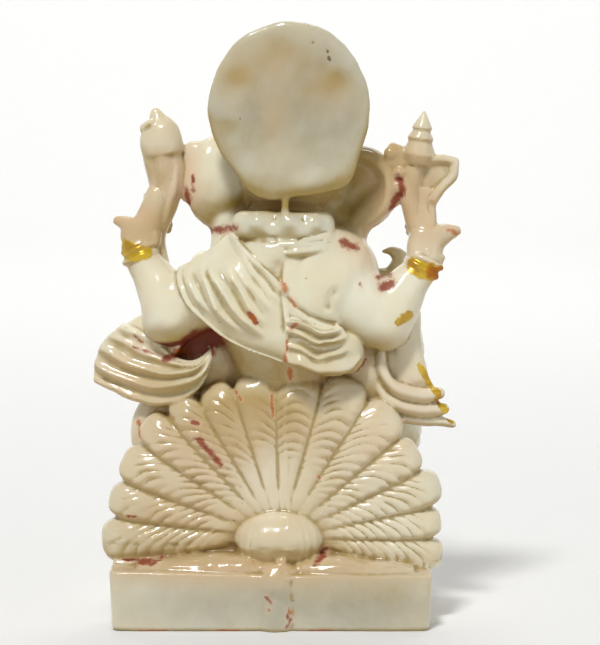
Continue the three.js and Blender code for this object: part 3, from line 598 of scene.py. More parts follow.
def ears():
    """The left ear turns its round back to the rear, the right one is a dish with a raised rim."""
    def oval(width, above, below):
        return lambda a: 1 / np.hypot(np.cos(a) / width, np.sin(a) / np.where(np.sin(a) > 0, above, below))

    def round_back(share, _):
        return -3.8 * (1 - share * share) - 1.2 * np.sqrt(1 - share ** 6)

    def dish(share, _):
        edge = np.sqrt(np.clip(1 - np.clip((share - 0.8) / 0.2, 0, 1) ** 2, 0.05, 1))
        return -(1.2 + 2.4 * smoothstep(0.52, 0.82, share)) * edge

    return [
        plate((11.4, 1, 95), (0.96, 0.28, 0), (0, 0, 1), oval(7.8, 10.4, 10), round_back,
              lambda share, _: 1.2 - 1.6 * (1 - share)),
        plate((-19.4, 0, 94.2), (0.97, -0.24, 0), (0, 0, 1), oval(8.6, 9, 9.6), dish,
              lambda share, _: 1.6 - 1.4 * (1 - share)),
        blob((FIGURE_X, -1, 95), (14, 5, 9)),
        limb([(13.4, 1, 101, 3.4, 2.6), (18.2, 1, 101.4, 3, 2)], tips=(0, 1)),
        limb([(12.8, 1, 91.4, 4, 3), (10.2, 1.6, 86, 3.4, 3), (10, 2.5, 80, 3.4, 3)]),
        limb([(18.4, 1.2, 101, 1.6, 1.5), (18.2, 1.4, 91, 1.4, 1.4)]),
        limb([(-24.6, 1, 92.6, 2.8, 2.4), (-19.4, 1.6, 86.4, 3, 2.6), (-16, 2.6, 79, 3.6, 3)]),
        limb([(-27, 1.6, 99, 1.8, 1.6), (-26.6, 1.8, 90.6, 1.8, 1.4)], tips=(0, 1)),
    ]


def nape():
    """The block of lumpy hair at the nape with a rolled collar below it."""
    return [
        limb([(5.6, 7.4, 86.2, 3.1, 3), (2.2, 8.4, 86, 3.5, 3.4), (-3.4, 9, 85.6, 3.7, 3.6),
              (-8, 8.6, 85.8, 3.5, 3.4), (-10.9, 7.4, 86.2, 3.1, 3)], facing=(0, 1, 0), squareness=0.72,
              tips=(2, 2)),
        blob((-3, 3.2, 86), (9.6, 6.2, 7)),
        blob((-0.4, 8.4, 79.4), (7.6, 6.1, 5.8)),
        limb([(-14.4, 6.6, 84, 1.3, 1.3), (-11.7, 10.6, 83.1, 1.3, 1.3), (-8.4, 12.3, 82.6, 1.2, 1.2),
              (-5, 13.1, 82.1, 1, 1), (-2, 13, 82.3, 0.6, 0.6)], tips=(2, 2)),
        limb([(-15.3, 7.4, 82.2, 1.1, 1.1), (-12.3, 11.2, 81.6, 1.1, 1.1), (-8.9, 13, 81.2, 1, 1),
              (-5.4, 13.9, 80.8, 0.8, 0.8), (-3.4, 14, 80.6, 0.4, 0.4)], tips=(2, 2)),
    ]


def halo():
    """The disc behind the crown: an ellipse with fuller lower corners, slightly domed at the back
    with a round rim, leaning a little to the left, and the sprue that joins it to the nape."""
    lean = math.radians(HALO["lean"])
    c, s = math.cos(lean), math.sin(lean)
    half = HALO["thickness"] / 2

    def outline(a):
        ellipse = 1 / np.hypot(np.cos(a) / HALO["half_width"], np.sin(a) / HALO["half_height"])
        degrees = np.degrees(a) % 360
        corners = 0.105 * np.exp(-((degrees - 235) / 13) ** 2) + 0.07 * np.exp(-((degrees - 291) / 12) ** 2)
        flat = -0.03 * np.exp(-((degrees - 264) / 9) ** 2) - 0.03 * np.exp(-((degrees - 318) / 16) ** 2)
        return ellipse * (1 + corners + flat + 0.004 * np.sin(7 * a) + 0.003 * np.sin(13 * a + 1))

    def back(q, a):
        return -half * (1 - q ** 7) ** 0.6 - 0.6 * (1 - q * q)

    def front(q, a):
        return half * np.sqrt(1 - q ** 8)

    return [
        plate((HALO["x"], HALO["y"], HALO["z"]), (c, 0, -s), (s, 0, c), outline, back, front),
        blob((HALO["x"], HALO["y"] - 4, HALO["z"] - 6), (9, 4, 9)),
        limb([(-3.3, 11.4, 94, 1, 1.4), (-3.1, 11, 90, 0.8, 1.4), (-3, 11.2, 86, 0.9, 1.4)]),
    ]


def shawl():
    """The shawl over the left shoulder and arm, its bunched folds at the right of the waist, and the
    two ends of the cloth beside the elbows."""
    over_shoulder = cloth([
        [(8.6, 7, 85.2), (5.6, 12, 81.6), (1.8, 14.5, 77.9), (-1.6, 15.6, 75), (-3.6, 15.8, 73.6)],
        [(10.2, 7.6, 83.7), (6.6, 13.6, 78.6), (2.4, 15.8, 72.8), (-0.7, 16.2, 69.4), (-3.6, 16.2, 66.8)],
        [(12.3, 8.2, 81.9), (9.2, 13.8, 76.6), (5.1, 15.8, 70), (1, 16.1, 65.3), (-3.4, 16.2, 62.9)],
        [(14.5, 8.4, 80.3), (12.6, 13.8, 74.8), (8.8, 15.6, 68.2), (3.4, 16, 62.9), (-3.2, 16.1, 60.2)],
        [(17.2, 8.6, 78.7), (16, 13.8, 73.4), (12.8, 15.2, 68.2), (6, 15.4, 61.9), (-3, 15.8, 58.5)],
        [(20.4, 7.6, 77), (19.6, 13, 72.4), (16.4, 14.4, 67.9), (7.9, 14.4, 61.4), (-2.8, 14.8, 57)],
    ], (0.15, 1, 0.15), 4, [
        (0.03, 0.035, 0.9, 0.0, 1.1), (0.12, 0.03, 0.5, 0.1, 0.9), (0.25, 0.045, 0.7, 0.3, 0.8),
        (0.385, 0.05, 1.9, 0.24, 0.74), (0.54, 0.05, 2.2, 0.19, 0.8), (0.69, 0.05, 2.0, 0.15, 0.68),
        (0.84, 0.045, 1.4, 0.1, 0.55), (0.98, 0.035, 0.8, 0.0, 1.2),
    ], 0.4)
    waist = cloth([
        [(-3.3, 13.8, 71.4), (-5.4, 14.2, 69.3), (-8, 14, 67.6), (-10.8, 13.4, 66.6), (-13.6, 12, 65.9)],
        [(-3.3, 15.5, 68.4), (-5.6, 15.7, 67.2), (-8.5, 15.4, 65.4), (-11.4, 14.8, 64.8), (-14.6, 13.2, 65)],
        [(-3.3, 16, 66.2), (-5.7, 16.4, 66), (-8.9, 16.2, 64.1), (-11.9, 15.6, 63.6), (-15.4, 13.5, 64.5)],
        [(-3.3, 16, 64.1), (-5.7, 16.4, 64.1), (-9.3, 16.2, 61.9), (-12.7, 15.4, 61.6), (-16.6, 13.3, 62.9)],
        [(-3.3, 15.8, 61.5), (-5.7, 16.3, 61.1), (-9.3, 16.2, 59.6), (-13.6, 15.2, 59.7), (-18, 12.9, 61.3)],
        [(-3.3, 15.8, 58.8), (-6.3, 16.4, 57.9), (-11, 16.2, 56.1), (-15.8, 14.8, 56.8), (-18.8, 12.4, 59)],
        [(-3.3, 14.4, 57), (-6.7, 14.8, 55.7), (-11.5, 14.6, 54), (-16, 13, 54.4), (-18.4, 11.8, 56.8)],
    ], (-0.1, 1, -0.05), 4, [
        (0.33, 0.035, 1.5, 0.0, 1.0), (0.5, 0.035, 1.6, 0.0, 1.0), (0.61, 0.022, 0.6, 0.1, 0.7),
        (0.71, 0.03, 1.1, 0.02, 1.0), (0.87, 0.07, 1.7, 0.0, 1.2),
    ], 0.1)
    left_end = cloth([
        [(32.7, 6, 64.4), (27.6, 6.4, 62.4), (24.3, 7.2, 60.2), (20.9, 8.4, 57.6), (16.5, 9.8, 57.1),
         (12.5, 9.6, 60)],
        [(36.5, 4.8, 61), (31, 6.2, 58.4), (26.5, 7.4, 56.6), (20.6, 9.2, 55.2), (15.8, 10.4, 55.8),
         (12.4, 9.8, 59.8)],
        [(38.9, 3.8, 56), (34, 5.4, 53.8), (28.7, 7, 52.4), (21.8, 9.4, 52), (15.6, 10.8, 54),
         (12.4, 9.8, 59.6)],
        [(39.2, 3.6, 51.4), (35, 4.8, 49.3), (30.4, 6.4, 47.7), (23.4, 8.8, 46.8), (16, 10, 50.6),
         (12.4, 9.4, 59.2)],
    ], (0.2, 1, 0.15), 2.6, [
        (0.04, 0.05, 0.6, 0.0, 0.8), (0.24, 0.06, 0.9, 0.0, 0.9), (0.47, 0.07, 1.5, 0.0, 1.0),
        (0.71, 0.07, 1.6, 0.0, 1.0), (0.94, 0.06, 1.1, 0.0, 1.1),
    ], 0.3)
    right_end = cloth([
        [(-31.6, 1.6, 68), (-32.3, 2.4, 62), (-33.1, 4, 57.4), (-34.3, 5.4, 53.6), (-36.2, 5.8, 49.6)],
        [(-29.6, 1.8, 68), (-30.6, 3.2, 62), (-31.2, 5, 57), (-32.4, 6, 52.4), (-34.6, 6.2, 48.6)],
        [(-27.6, 1.8, 67), (-27.6, 3.4, 61), (-27, 5.4, 55.6), (-28.6, 6.4, 51), (-36.6, 6, 47.6)],
        [(-25.6, 1.8, 66), (-25, 3.2, 60), (-24.2, 5.2, 53.6), (-27, 6, 48.4), (-37.2, 5.4, 45.6)],
        [(-23.6, 1.6, 64), (-23, 2.8, 58), (-22.8, 4.6, 51.6), (-25.6, 5.6, 46), (-37.6, 4.8, 43.6)],
        [(-22.4, 0.6, 62), (-22.2, 2, 56), (-22.4, 3.8, 49), (-25, 4.8, 44.4), (-38, 4, 43)],
    ], (-0.1, 1, 0.1), 3, [(0.02, 0.04, 0.7, 0.0, 1.1), (0.13, 0.03, 0.3, 0.1, 0.8)], 0.5)
    rolls = [limb(run, tips=(1, 2)) for run in (
        [(-24.2, 5, 60.5, 0.9, 1.2), (-24.2, 6.6, 55.4, 1.2, 1.7), (-25.8, 7.7, 51.8, 1.4, 1.9),
         (-28.8, 8, 49.9, 1.6, 2), (-33.2, 7.6, 49, 1.6, 1.8), (-36.8, 6.8, 49.4, 1.3, 1.2)],
        [(-22.8, 4.2, 56, 0.8, 1.2), (-23.2, 5.8, 51.6, 1.1, 1.7), (-25.2, 6.9, 48.4, 1.3, 1.9),
         (-28.8, 7.4, 46.6, 1.5, 2), (-33.4, 7, 45.7, 1.6, 1.8), (-37.9, 6.2, 45.8, 1.2, 1.2)],
        [(-22.6, 4, 50.6, 0.7, 1.2), (-24, 4.9, 46.8, 1, 1.6), (-27.6, 5.9, 44.2, 1.1, 1.7),
         (-33.2, 6, 43.1, 1.1, 1.6), (-37.6, 5.4, 42.9, 1, 1.3), (-39.9, 4.8, 42.2, 0.8, 0.9)],
    )]
    return [
        over_shoulder,
        waist,
        left_end,
        right_end,
        *rolls,
        limb([(20, 5, 58, 5, 3), (26, 3, 62, 4.6, 2.6), (31, 1.5, 61.6, 3, 2.2)], tips=(0, 1)),
        blob((-16.4, 11, 58.6), (4, 3.6, 4.6)),
        limb([(-30.4, 2, 67, 2.6, 2.2), (-30.2, 3.8, 60, 3, 2.4), (-30.4, 5, 52.4, 4.2, 2.4)], tips=(0, 2)),
    ]


def joined(forms, shift=(0, 0, 0)):
    """All the forms' points and triangles as one pair of arrays."""
    points, faces, count = [], [], 0
    for p, f in forms:
        points.append(p + np.asarray(shift))
        faces.append(f + count)
        count += len(p)
    return np.vstack(points), np.vstack(faces)


# Meshes as arrays

def put_mesh(mesh, points, faces):
    """Fills a mesh from arrays of points and triangles."""
    mesh.clear_geometry()
    mesh.vertices.add(len(points))
    mesh.vertices.foreach_set("co", np.ascontiguousarray(points, np.float32).ravel())
    mesh.loops.add(faces.size)
    mesh.loops.foreach_set("vertex_index", np.ascontiguousarray(faces, np.int32).ravel())
    mesh.polygons.add(len(faces))
    mesh.polygons.foreach_set("loop_start", np.arange(0, faces.size, 3, dtype=np.int32))
    mesh.update(calc_edges=True)


def rows_of(items, key, width, kind=np.float32):
    """One property of all of a mesh's items, as an array with a row for each."""
    flat = np.empty(width * len(items), kind)
    items.foreach_get(key, flat)
    return flat.reshape(-1, width)


def points_of(mesh):
    """The mesh's points in millimetres."""
    return rows_of(mesh.vertices, "co", 3).astype(float) / MM


def normals_of(mesh):
    """The mesh's normal at each point."""
    return rows_of(mesh.vertex_normals, "vector", 3).astype(float)


def triangles_of(mesh):
    """The mesh's faces as triangles."""
    mesh.calc_loop_triangles()
    return rows_of(mesh.loop_triangles, "vertices", 3, np.int32).astype(np.int64)


def move_points(mesh, points):
    """Puts points, in millimetres, back into the mesh."""
    mesh.vertices.foreach_set("co", np.ascontiguousarray(points * MM, np.float32).ravel())
    mesh.update()


def averaged(values, edges, passes):
    """The values after some passes. Each pass moves every value half way to the mean of its neighbours."""
    a, b = edges[:, 0], edges[:, 1]
    n = len(values)
    degree = np.maximum(np.bincount(a, minlength=n) + np.bincount(b, minlength=n), 1)[:, None]
    out = values.copy()
    for _ in range(passes):
        total = np.empty_like(out)
        for k in range(out.shape[1]):
            total[:, k] = np.bincount(a, out[b, k], n) + np.bincount(b, out[a, k], n)
        out = 0.5 * out + 0.5 * total / degree
    return out


def surroundings(points, cell=1.2, passes=16):
    """The mean place of the skin around each point. The points are counted and summed on a grid of
    cells, and the grids are blurred by the weights 1, 2, 1 along each axis in turn."""
    index = ((points - points.min(0)) / cell).astype(int) + passes // 4
    shape = tuple(index.max(0) + 1 + passes // 4)
    place = np.ravel_multi_index(index.T, shape)
    grids = []
    for weight in (None, *points.T):
        grid = np.bincount(place, weight, int(np.prod(shape))).astype(float).reshape(shape)
        for _ in range(passes):
            for axis in range(3):
                grid = 0.5 * grid + 0.25 * (np.roll(grid, 1, axis) + np.roll(grid, -1, axis))
        grids.append(grid.ravel()[place])
    return np.stack(grids[1:], 1) / grids[0][:, None]


def finish_modifiers(piece):
    """Works the piece's modifiers into its mesh."""
    depsgraph = bpy.context.evaluated_depsgraph_get()
    finished = bpy.data.meshes.new_from_object(piece.evaluated_get(depsgraph))
    piece.modifiers.clear()
    before = piece.data
    piece.data = finished
    bpy.data.meshes.remove(before)


def ripple(points, wavelength, seed, waves=14):
    """Soft lumps, about -1 to 1: plane waves in seeded directions, summed and divided by the root of
    their number."""
    draw = np.random.default_rng(seed)
    direction = unit(draw.normal(size=(waves, 3)))
    stretch = draw.uniform(0.75, 1.35, waves)
    phase = draw.uniform(0, 2 * np.pi, waves)
    total = np.zeros(len(points))
    for d, s, p in zip(direction, stretch, phase):
        total += np.sin(points @ (d * 2 * np.pi * s / wavelength) + p)
    return total / math.sqrt(waves)


# Fine relief, as a height in millimetres along each normal

def barbs(points, normal, depth, pitch):
    """The comb lines of the feathers: rounded ribs with narrow grooves between, |sin| of a phase that
    grows with the logarithm of the distance from the root. They arch towards the tips and stand
    further apart there, lean more the further a feather is from upright, and fade at both ends."""
    radius, angle, index, width, length, across, inside = place_on_fan(points)
    start = np.array(BARB_START)[index]
    aside = radius * np.radians(width) * across / 2
    off = 90 - angle + across * width / 2
    (left, left_at), (right, right_at) = BARB_LEAN
    lean = np.where(off > 0, left * np.clip(off / left_at, 0, 1), right * np.clip(off / right_at, -1, 0))
    lean = np.radians(lean)
    arch = 0.17 * aside ** 2 / (1 + 0.12 * np.abs(aside))
    run = radius * np.cos(lean) + aside * np.sin(lean) + arch
    phase = BARB_SPREAD / pitch * np.log1p(np.maximum(run, 0) / BARB_SPREAD)
    phase += 0.08 * np.sin(0.8 * radius + 2.3 * index)
    groove = 1 - np.abs(np.sin(np.pi * phase)) ** 0.9
    share = radius / length
    body = smoothstep(start - 0.06, start + 0.1, share) * (1 - smoothstep(0.88, 0.97, share))
    body *= 1 - smoothstep(0.75, 1.0, np.abs(across))
    body *= 0.8 + 0.4 * ripple(points, 7.0, 5)
    surface = FAN_BACK - FAN_LEAN * radius * np.maximum(0, np.sin(np.radians(angle)))
    above = np.abs(points[:, 1] - FIGURE_Y - surface - 1.0)
    near = (1 - smoothstep(3.2, 4.2, above)) * smoothstep(0.1, 0.4, normal[:, 1])
    return -depth * groove * np.clip(body, 0, 1.3) * near * inside


def valleys(points, normal):
    """1 in the valley between two feathers and 0 away from it."""
    radius, _, _, width, length, across, inside = place_on_fan(points)
    on_feather = (radius < 0.97 * length) * (radius > 0.3 * length)
    on_back = (np.abs(points[:, 1] - FAN_BACK - 1) < 3) * (normal[:, 1] > 0.3)
    aside = (1 - np.abs(across)) * radius * np.radians(width) / 2
    return smoothstep(0.8, 0.1, aside) * (on_feather * on_back) * inside


def mould_seam(points, normal, crest):
    """The ridge that the two halves of the mould leave down the back: a narrow bell across it, wavy in
    line and in height, with a small step, tanh, from one side to the other on the shawl. On the
    plinth it is a broad lumpy weld, a bell of the fourth power, with a groove on one side."""
    z = points[:, 2]
    wander = 0.35 * np.sin(z / 5.1) + 0.2 * np.sin(z / 2.3 + 1)
    off = points[:, 0] - SEAM_X - wander
    figure = smoothstep(PLINTH["height"] + 6, PLINTH["height"] + 10, z) * smoothstep(80, 76, z)
    height = crest * (0.7 + 0.3 * np.sin(z / 1.7)) * np.exp(-(off / 0.42) ** 2)
    step = 0.4 * np.tanh(off / 0.5) * np.exp(-(off / 2.4) ** 2)
    height -= step * smoothstep(62, 66, z) * smoothstep(80, 77, z)
    weld = np.exp(-((points[:, 0] + 1.1 + wander) / 2.5) ** 4) * (0.6 + 0.15 * np.sin(z / 1.3))
    weld -= 0.3 * np.exp(-((points[:, 0] + 4.2 + 1.5 * wander) / 0.7) ** 2) * (0.6 + 0.4 * np.sin(1.9 * z))
    block = smoothstep(PLINTH["height"] + 2, PLINTH["height"] - 1, z)
    return (height * figure + weld * block) * smoothstep(0.2, 0.5, normal[:, 1])


def swellings(points, places):
    """Round swellings, or hollows where the height is negative: each place is x, y, z, radius and
    height, and its height falls off as a bell."""
    total = np.zeros(len(points))
    for x, y, z, radius, height in places:
        total += height * np.exp(-((points - (x, y, z)) ** 2).sum(1) / radius ** 2)
    return total


def ornament(points, normal):
    """Beads and petals round the crown's tiers, |cos| of the angle about its axis, and narrow valleys,
    1 - |sin|, that ring the trunk and run down the sides of the rump."""
    x, y, z = points[:, 0] - HEAD_X, points[:, 1] - FIGURE_Y, points[:, 2]
    angle = np.arctan2(y + 0.5, x)
    ahead = smoothstep(0.3, -0.2, normal[:, 1]) * (np.hypot(x, y + 0.5) < 13)
    beads = np.abs(np.cos(11 * angle)) * np.exp(-((z - 104.6) / 0.9) ** 2)
    beads += np.abs(np.cos(8 * angle)) * np.exp(-((z - 112.6) / 0.9) ** 2)
    petals = np.abs(np.cos(7 * angle)) * smoothstep(105.4, 106.4, z) * smoothstep(110.8, 108, z)
    trunk = smoothstep(-11, -13, y) * smoothstep(62, 66, z) * smoothstep(97, 92, z) * (np.abs(x - 1) < 8)
    rings = (1 - np.abs(np.sin(np.pi * (z - 0.05 * (x - 1) ** 2) / 2.1))) ** 3
    aside, above = np.abs(points[:, 0] - FAN_ROOT[0] - RUMP_SHIFT[0]), z - FAN_ROOT[1] - RUMP_SHIFT[1]
    reach = np.hypot(aside / RUMP_RADII[0], above / RUMP_RADII[2])
    rump = smoothstep(3, 6, aside) * smoothstep(1.02, 0.9, reach) * (points[:, 1] > 16)
    ribs = 1 - np.abs(np.sin(np.pi * (aside + 0.06 * above ** 2) / 1.5))
    return 0.5 * beads * ahead + 0.3 * petals * ahead - 0.16 * rings * trunk - 0.16 * ribs * rump


# Swellings and hollows, each with its x, y and z, radius and height
HALO_DENTS = [
    (7.6, 14.8, 115.4, 4.2, -1.3), (-1, 15, 121.8, 5.4, -1.1), (-13.2, 15, 113.5, 5.2, -1.1),
    (-7.8, 14.8, 94.8, 2.8, 0.8), (9.2, 14.6, 110.6, 3.2, 0.8), (-4, 15, 103, 6, 0.6),
    (-15, 14.6, 120, 2.6, 0.5), (3.6, 14.8, 98, 3.2, 0.5), (-9, 15.2, 125.5, 0.6, -0.5),
    (-12.2, 15.2, 123.5, 0.5, -0.5), (-12.5, 15.2, 121.9, 0.5, -0.4),
]
# The lumps of the hair, and the navel among them
HAIR_LUMPS = [
    (3.2, 12.6, 86.8, 2.1, 1.2), (-4.1, 13.6, 87.0, 2.2, 1.2), (-9.6, 12.6, 86.6, 2.0, 1.1),
    (-0.4, 13.6, 84.8, 1.6, 0.6), (-6.9, 13.6, 84.4, 1.7, 0.7), (6.6, 10.6, 87.4, 1.7, 0.7),
    (5.6, 11.4, 84.6, 1.6, 0.5), (-11.8, 11, 84.6, 1.5, 0.5), (-3, -23.6, 44.5, 1.3, -1.6),
    (-0.8, 13, 88.2, 1.2, -0.6), (-7, 13, 87.8, 1.1, -0.6), (1.4, 13, 83.6, 1.1, -0.4),
]
PLINTH_LUMPS = [
    (-0.6, 25, 1.2, 2.2, 0.8), (-2, 25, 5, 1.4, 0.4), (0.4, 25, 9, 1.3, 0.4), (1.2, 25, 6.4, 1.4, -0.3),
    (-3.9, 25, 3.2, 0.9, -0.5), (-0.4, 25, 7.1, 0.7, -0.5), (-1.8, 25, 9.6, 1.2, 0.4),
    (30, 25, 11, 3, -0.25), (-22, 25, 11.6, 4, -0.3), (14, 25, 5, 6, 0.2), (-24, 25, 5, 7, 0.2),
]
# Creases on the back, each a run from x, z to x, z with a half width
CREASES = [
    (-13.6, 72.1, -12.7, 70.9, 1.9), (-12.7, 70.9, -12.4, 69.2, 1.7), (-3.4, 71.4, -5.9, 69.0, 1.0),
    (-5.9, 69.0, -8.4, 67.3, 1.0), (-8.4, 67.3, -11.0, 66.3, 1.0), (-11.0, 66.3, -13.6, 65.5, 1.0),
    (-1, 83.2, 5.5, 83.2, 1.0), (-6, 83.2, -11, 83.4, 0.8),
]


# Shader nodes

# The colour sockets of a Mix node, which has others of the same names
MIX_FIRST, MIX_SECOND, MIX_RESULT = 6, 7, 2


class Value:
    """A socket that Python's arithmetic can be used on. Each operator adds its Math node."""

    def __init__(self, shader, socket):
        self.shader = shader
        self.socket = socket

    def _math(self, operation, *others, clamp=False):
        """A Math node on this value and others."""
        settings = {"operation": operation, "use_clamp": clamp}
        out = self.shader.node("ShaderNodeMath", settings, [self, *others])
        return Value(self.shader, out.outputs[0])

    def __add__(self, other):
        return self._math("ADD", other)

    __radd__ = __add__

    def __mul__(self, other):
        return self._math("MULTIPLY", other)

    __rmul__ = __mul__

    def __sub__(self, other):
        return self._math("SUBTRACT", other)

    def __rsub__(self, other):
        return (self * -1.0) + other

    def clamped(self):
        """Cut off below 0 and above 1."""
        return self._math("ADD", 0.0, clamp=True)

    def most(self, other):
        """The larger of the two."""
        return self._math("MAXIMUM", other)

    def ramp(self, low, high):
        """0 at low and 1 at high with a smooth rise between."""
        inputs = {"Value": self, "From Min": low, "From Max": high}
        out = self.shader.node("ShaderNodeMapRange", {"interpolation_type": "SMOOTHSTEP"}, inputs)
        return Value(self.shader, out.outputs["Result"])


class Shader:
    """A material whose nodes are added by type, settings and inputs."""

    def __init__(self, name):
        self.material = bpy.data.materials.new(name)
        self.material.use_nodes = True
        self.tree = self.material.node_tree
        self.tree.nodes.clear()

    def node(self, kind, settings=None, inputs=None):
        """A new node of a type, with its settings and then the values or links of its sockets."""
        made = self.tree.nodes.new(kind)
        for key, value in (settings or {}).items():
            setattr(made, key, value)
        pairs = inputs.items() if isinstance(inputs, dict) else enumerate(inputs or [])
        for key, value in pairs:
            self.feed(made.inputs[key], value)
        return made

    def feed(self, socket, value):
        """Links a value to an input, or sets the input to a number, a vector or a colour."""
        if isinstance(value, Value):
            value = value.socket
        if isinstance(value, bpy.types.NodeSocket):
            self.tree.links.new(value, socket)
        elif socket.type == "RGBA":
            socket.default_value = (*value, 1.0)
        else:
            socket.default_value = value

    def attribute(self, name):
        """A number stored at each point."""
        return Value(self, self.node("ShaderNodeAttribute", {"attribute_name": name}).outputs["Fac"])

    def position(self):
        """Object coordinates in millimetres."""
        out = self.node("ShaderNodeTexCoord").outputs["Object"]
        inputs = {"Vector": out, "Scale": 1 / MM}
        return self.node("ShaderNodeVectorMath", {"operation": "SCALE"}, inputs).outputs[0]

    def noise(self, position, wavelength, detail=3.0, roughness=0.5):
        """Cloudy noise, about 0.5 on the mean."""
        out = self.node("ShaderNodeTexNoise", {"noise_dimensions": "3D"}, {
            "Vector": position, "Scale": 1 / wavelength, "Detail": detail, "Roughness": roughness})
        return Value(self, out.outputs["Fac"])

    def mix(self, factor, first, second):
        """The first colour turned into the second by a factor."""
        made = self.node("ShaderNodeMix", {"data_type": "RGBA", "clamp_factor": True}, {
            "Factor": factor, MIX_FIRST: first, MIX_SECOND: second})
        return made.outputs[MIX_RESULT]

    def finish(self, shader):
        """Makes a shader node the surface, and gives the material."""
        self.node("ShaderNodeOutputMaterial", {}, {"Surface": shader.outputs[0]})
        return self.material


def resin_material(colours):
    """Glossy ivory resin that lets a little light in. Grey, tan and peach clouds lie over it, the tan
    and some peach partly painted shade; then painted shade in the hollows, in the grooves and in the
    deepest recesses, partly real washes; gold paint, dull red and rusty stains, a dark red under the
    elbow that is partly painted shade, and dirt in small pits."""
    s = Shader("ivory_resin")
    place = s.position()
    recess, hollow = s.attribute("recess"), s.attribute("hollow")
    grey, tan, pink = s.attribute("grey"), s.attribute("tan"), s.attribute("pink")
    clouds = s.noise(place, 14.0, 2.0)
    patches = s.noise(place, 5.0, 3.0)
    fine = s.noise(place, 1.3, 4.0, 0.6)
    ragged = (fine - 0.5) * 2.2 + (patches - 0.5) * 1.2
    specks = s.node("ShaderNodeTexVoronoi", {"feature": "F1"}, {
        "Vector": place, "Scale": 0.16, "Randomness": 1.0,
    })

    # Painted shade: ochre in the hollows, olive lines along the grooves and brown in the deepest recesses,
    # partly real washes
    wash_and_shade = (hollow.ramp(0.1, 1.1) * (0.5 + 0.8 * patches)).clamped()
    line = (recess.ramp(0.012, 0.095) * (0.55 + 0.8 * fine)).clamped()
    deep = (recess.ramp(0.08, 0.26) * fine.ramp(0.3, 0.55) + (hollow - 0.8).ramp(0.0, 0.8) * 0.7).clamped()
    blush = (s.attribute("red").most(s.attribute("orange")) + ragged * 0.5).ramp(-1.0, 0.3)
    gold = (s.attribute("gold") + ragged * 0.45 - 0.05).ramp(0.0, 0.22)
    # The dark red lies only in the hollows, and under the elbow it is partly painted shade
    maroon = (s.attribute("maroon") + ragged * 0.6).ramp(-0.2, 0.6) * hollow.ramp(-0.2, 0.4)
    red = (s.attribute("red") + ragged * 0.8 - 0.05).ramp(-0.1, 0.7)
    orange = (s.attribute("orange") + ragged * 0.8).ramp(-0.1, 0.7)
    dirt = (s.attribute("dirt") + ragged * 0.4).ramp(0.2, 0.5)
    pits = (1 - Value(s, specks.outputs["Distance"]).ramp(0.018, 0.034)).most(dirt)

    base = s.mix(clouds.ramp(0.38, 0.62), colours.ivory, colours.cream)
    layers = [
        ((grey * (0.6 + 0.6 * patches)).clamped(), colours.grey),
        # The tan clouds are partly painted shade: undersides, the halo's lower rim and dents, and where the
        # halo's shadow falls
        ((tan * (0.7 + 0.6 * patches)).clamped(), colours.tan),
        ((pink * (0.25 + 0.9 * patches)).clamped(), colours.pink),
        # Painted shade in the hollows, the grooves and the deepest recesses
        (wash_and_shade * 0.85, colours.ochre),
        (line * 0.85, colours.olive),
        (deep * 0.7, colours.brown),
        (blush * 0.35, colours.pink),
        (gold, s.mix(patches.ramp(0.45, 0.7), colours.gold, colours.bronze)),
        (maroon * 0.92, colours.maroon),
        (red * 0.9, colours.red),
        (orange * 0.8, colours.orange),
        (pits * 0.85, colours.pit),
    ]
    for mask, colour in layers:
        base = s.mix(mask, base, colour)

    stain = red.most(orange).most(maroon)
    rough = 0.21 + wash_and_shade * 0.15 + gold * 0.14 + stain * 0.25 + (patches - 0.5) * 0.16
    lumps = s.noise(place, 2.6, 2.0) * 0.27 + fine * 0.05 + gold * fine * 0.12 - pits * 0.15
    bump = s.node("ShaderNodeBump", {}, {"Height": lumps, "Strength": 0.4, "Distance": MM})
    return s.finish(s.node("ShaderNodeBsdfPrincipled", {"subsurface_method": "RANDOM_WALK"}, {
        "Base Color": base, "Roughness": rough, "Metallic": gold * 0.4, "Normal": bump.outputs[0],
        "Subsurface Weight": 0.18, "Subsurface Radius": (1.0, 0.6, 0.3), "Subsurface Scale": 1.0 * MM,
        "IOR": 1.42, "Coat Weight": (1 - stain) * 0.32, "Coat Roughness": 0.1,
    }))


def floor_material(colour):
    """Plain pale paper with a faint tooth."""
    s = Shader("pale_floor")
    tooth = s.noise(s.position(), 4.0, 3.0)
    return s.finish(s.node("ShaderNodeBsdfPrincipled", {}, {
        "Base Color": s.mix(tooth, colour, [part * 0.985 for part in colour]), "Roughness": 0.9,
        "Emission Color": (1.0, 1.0, 0.98), "Emission Strength": 0.05,
    }))


# Painted and stained places on the back, each a run from x, z to x, z with a radius

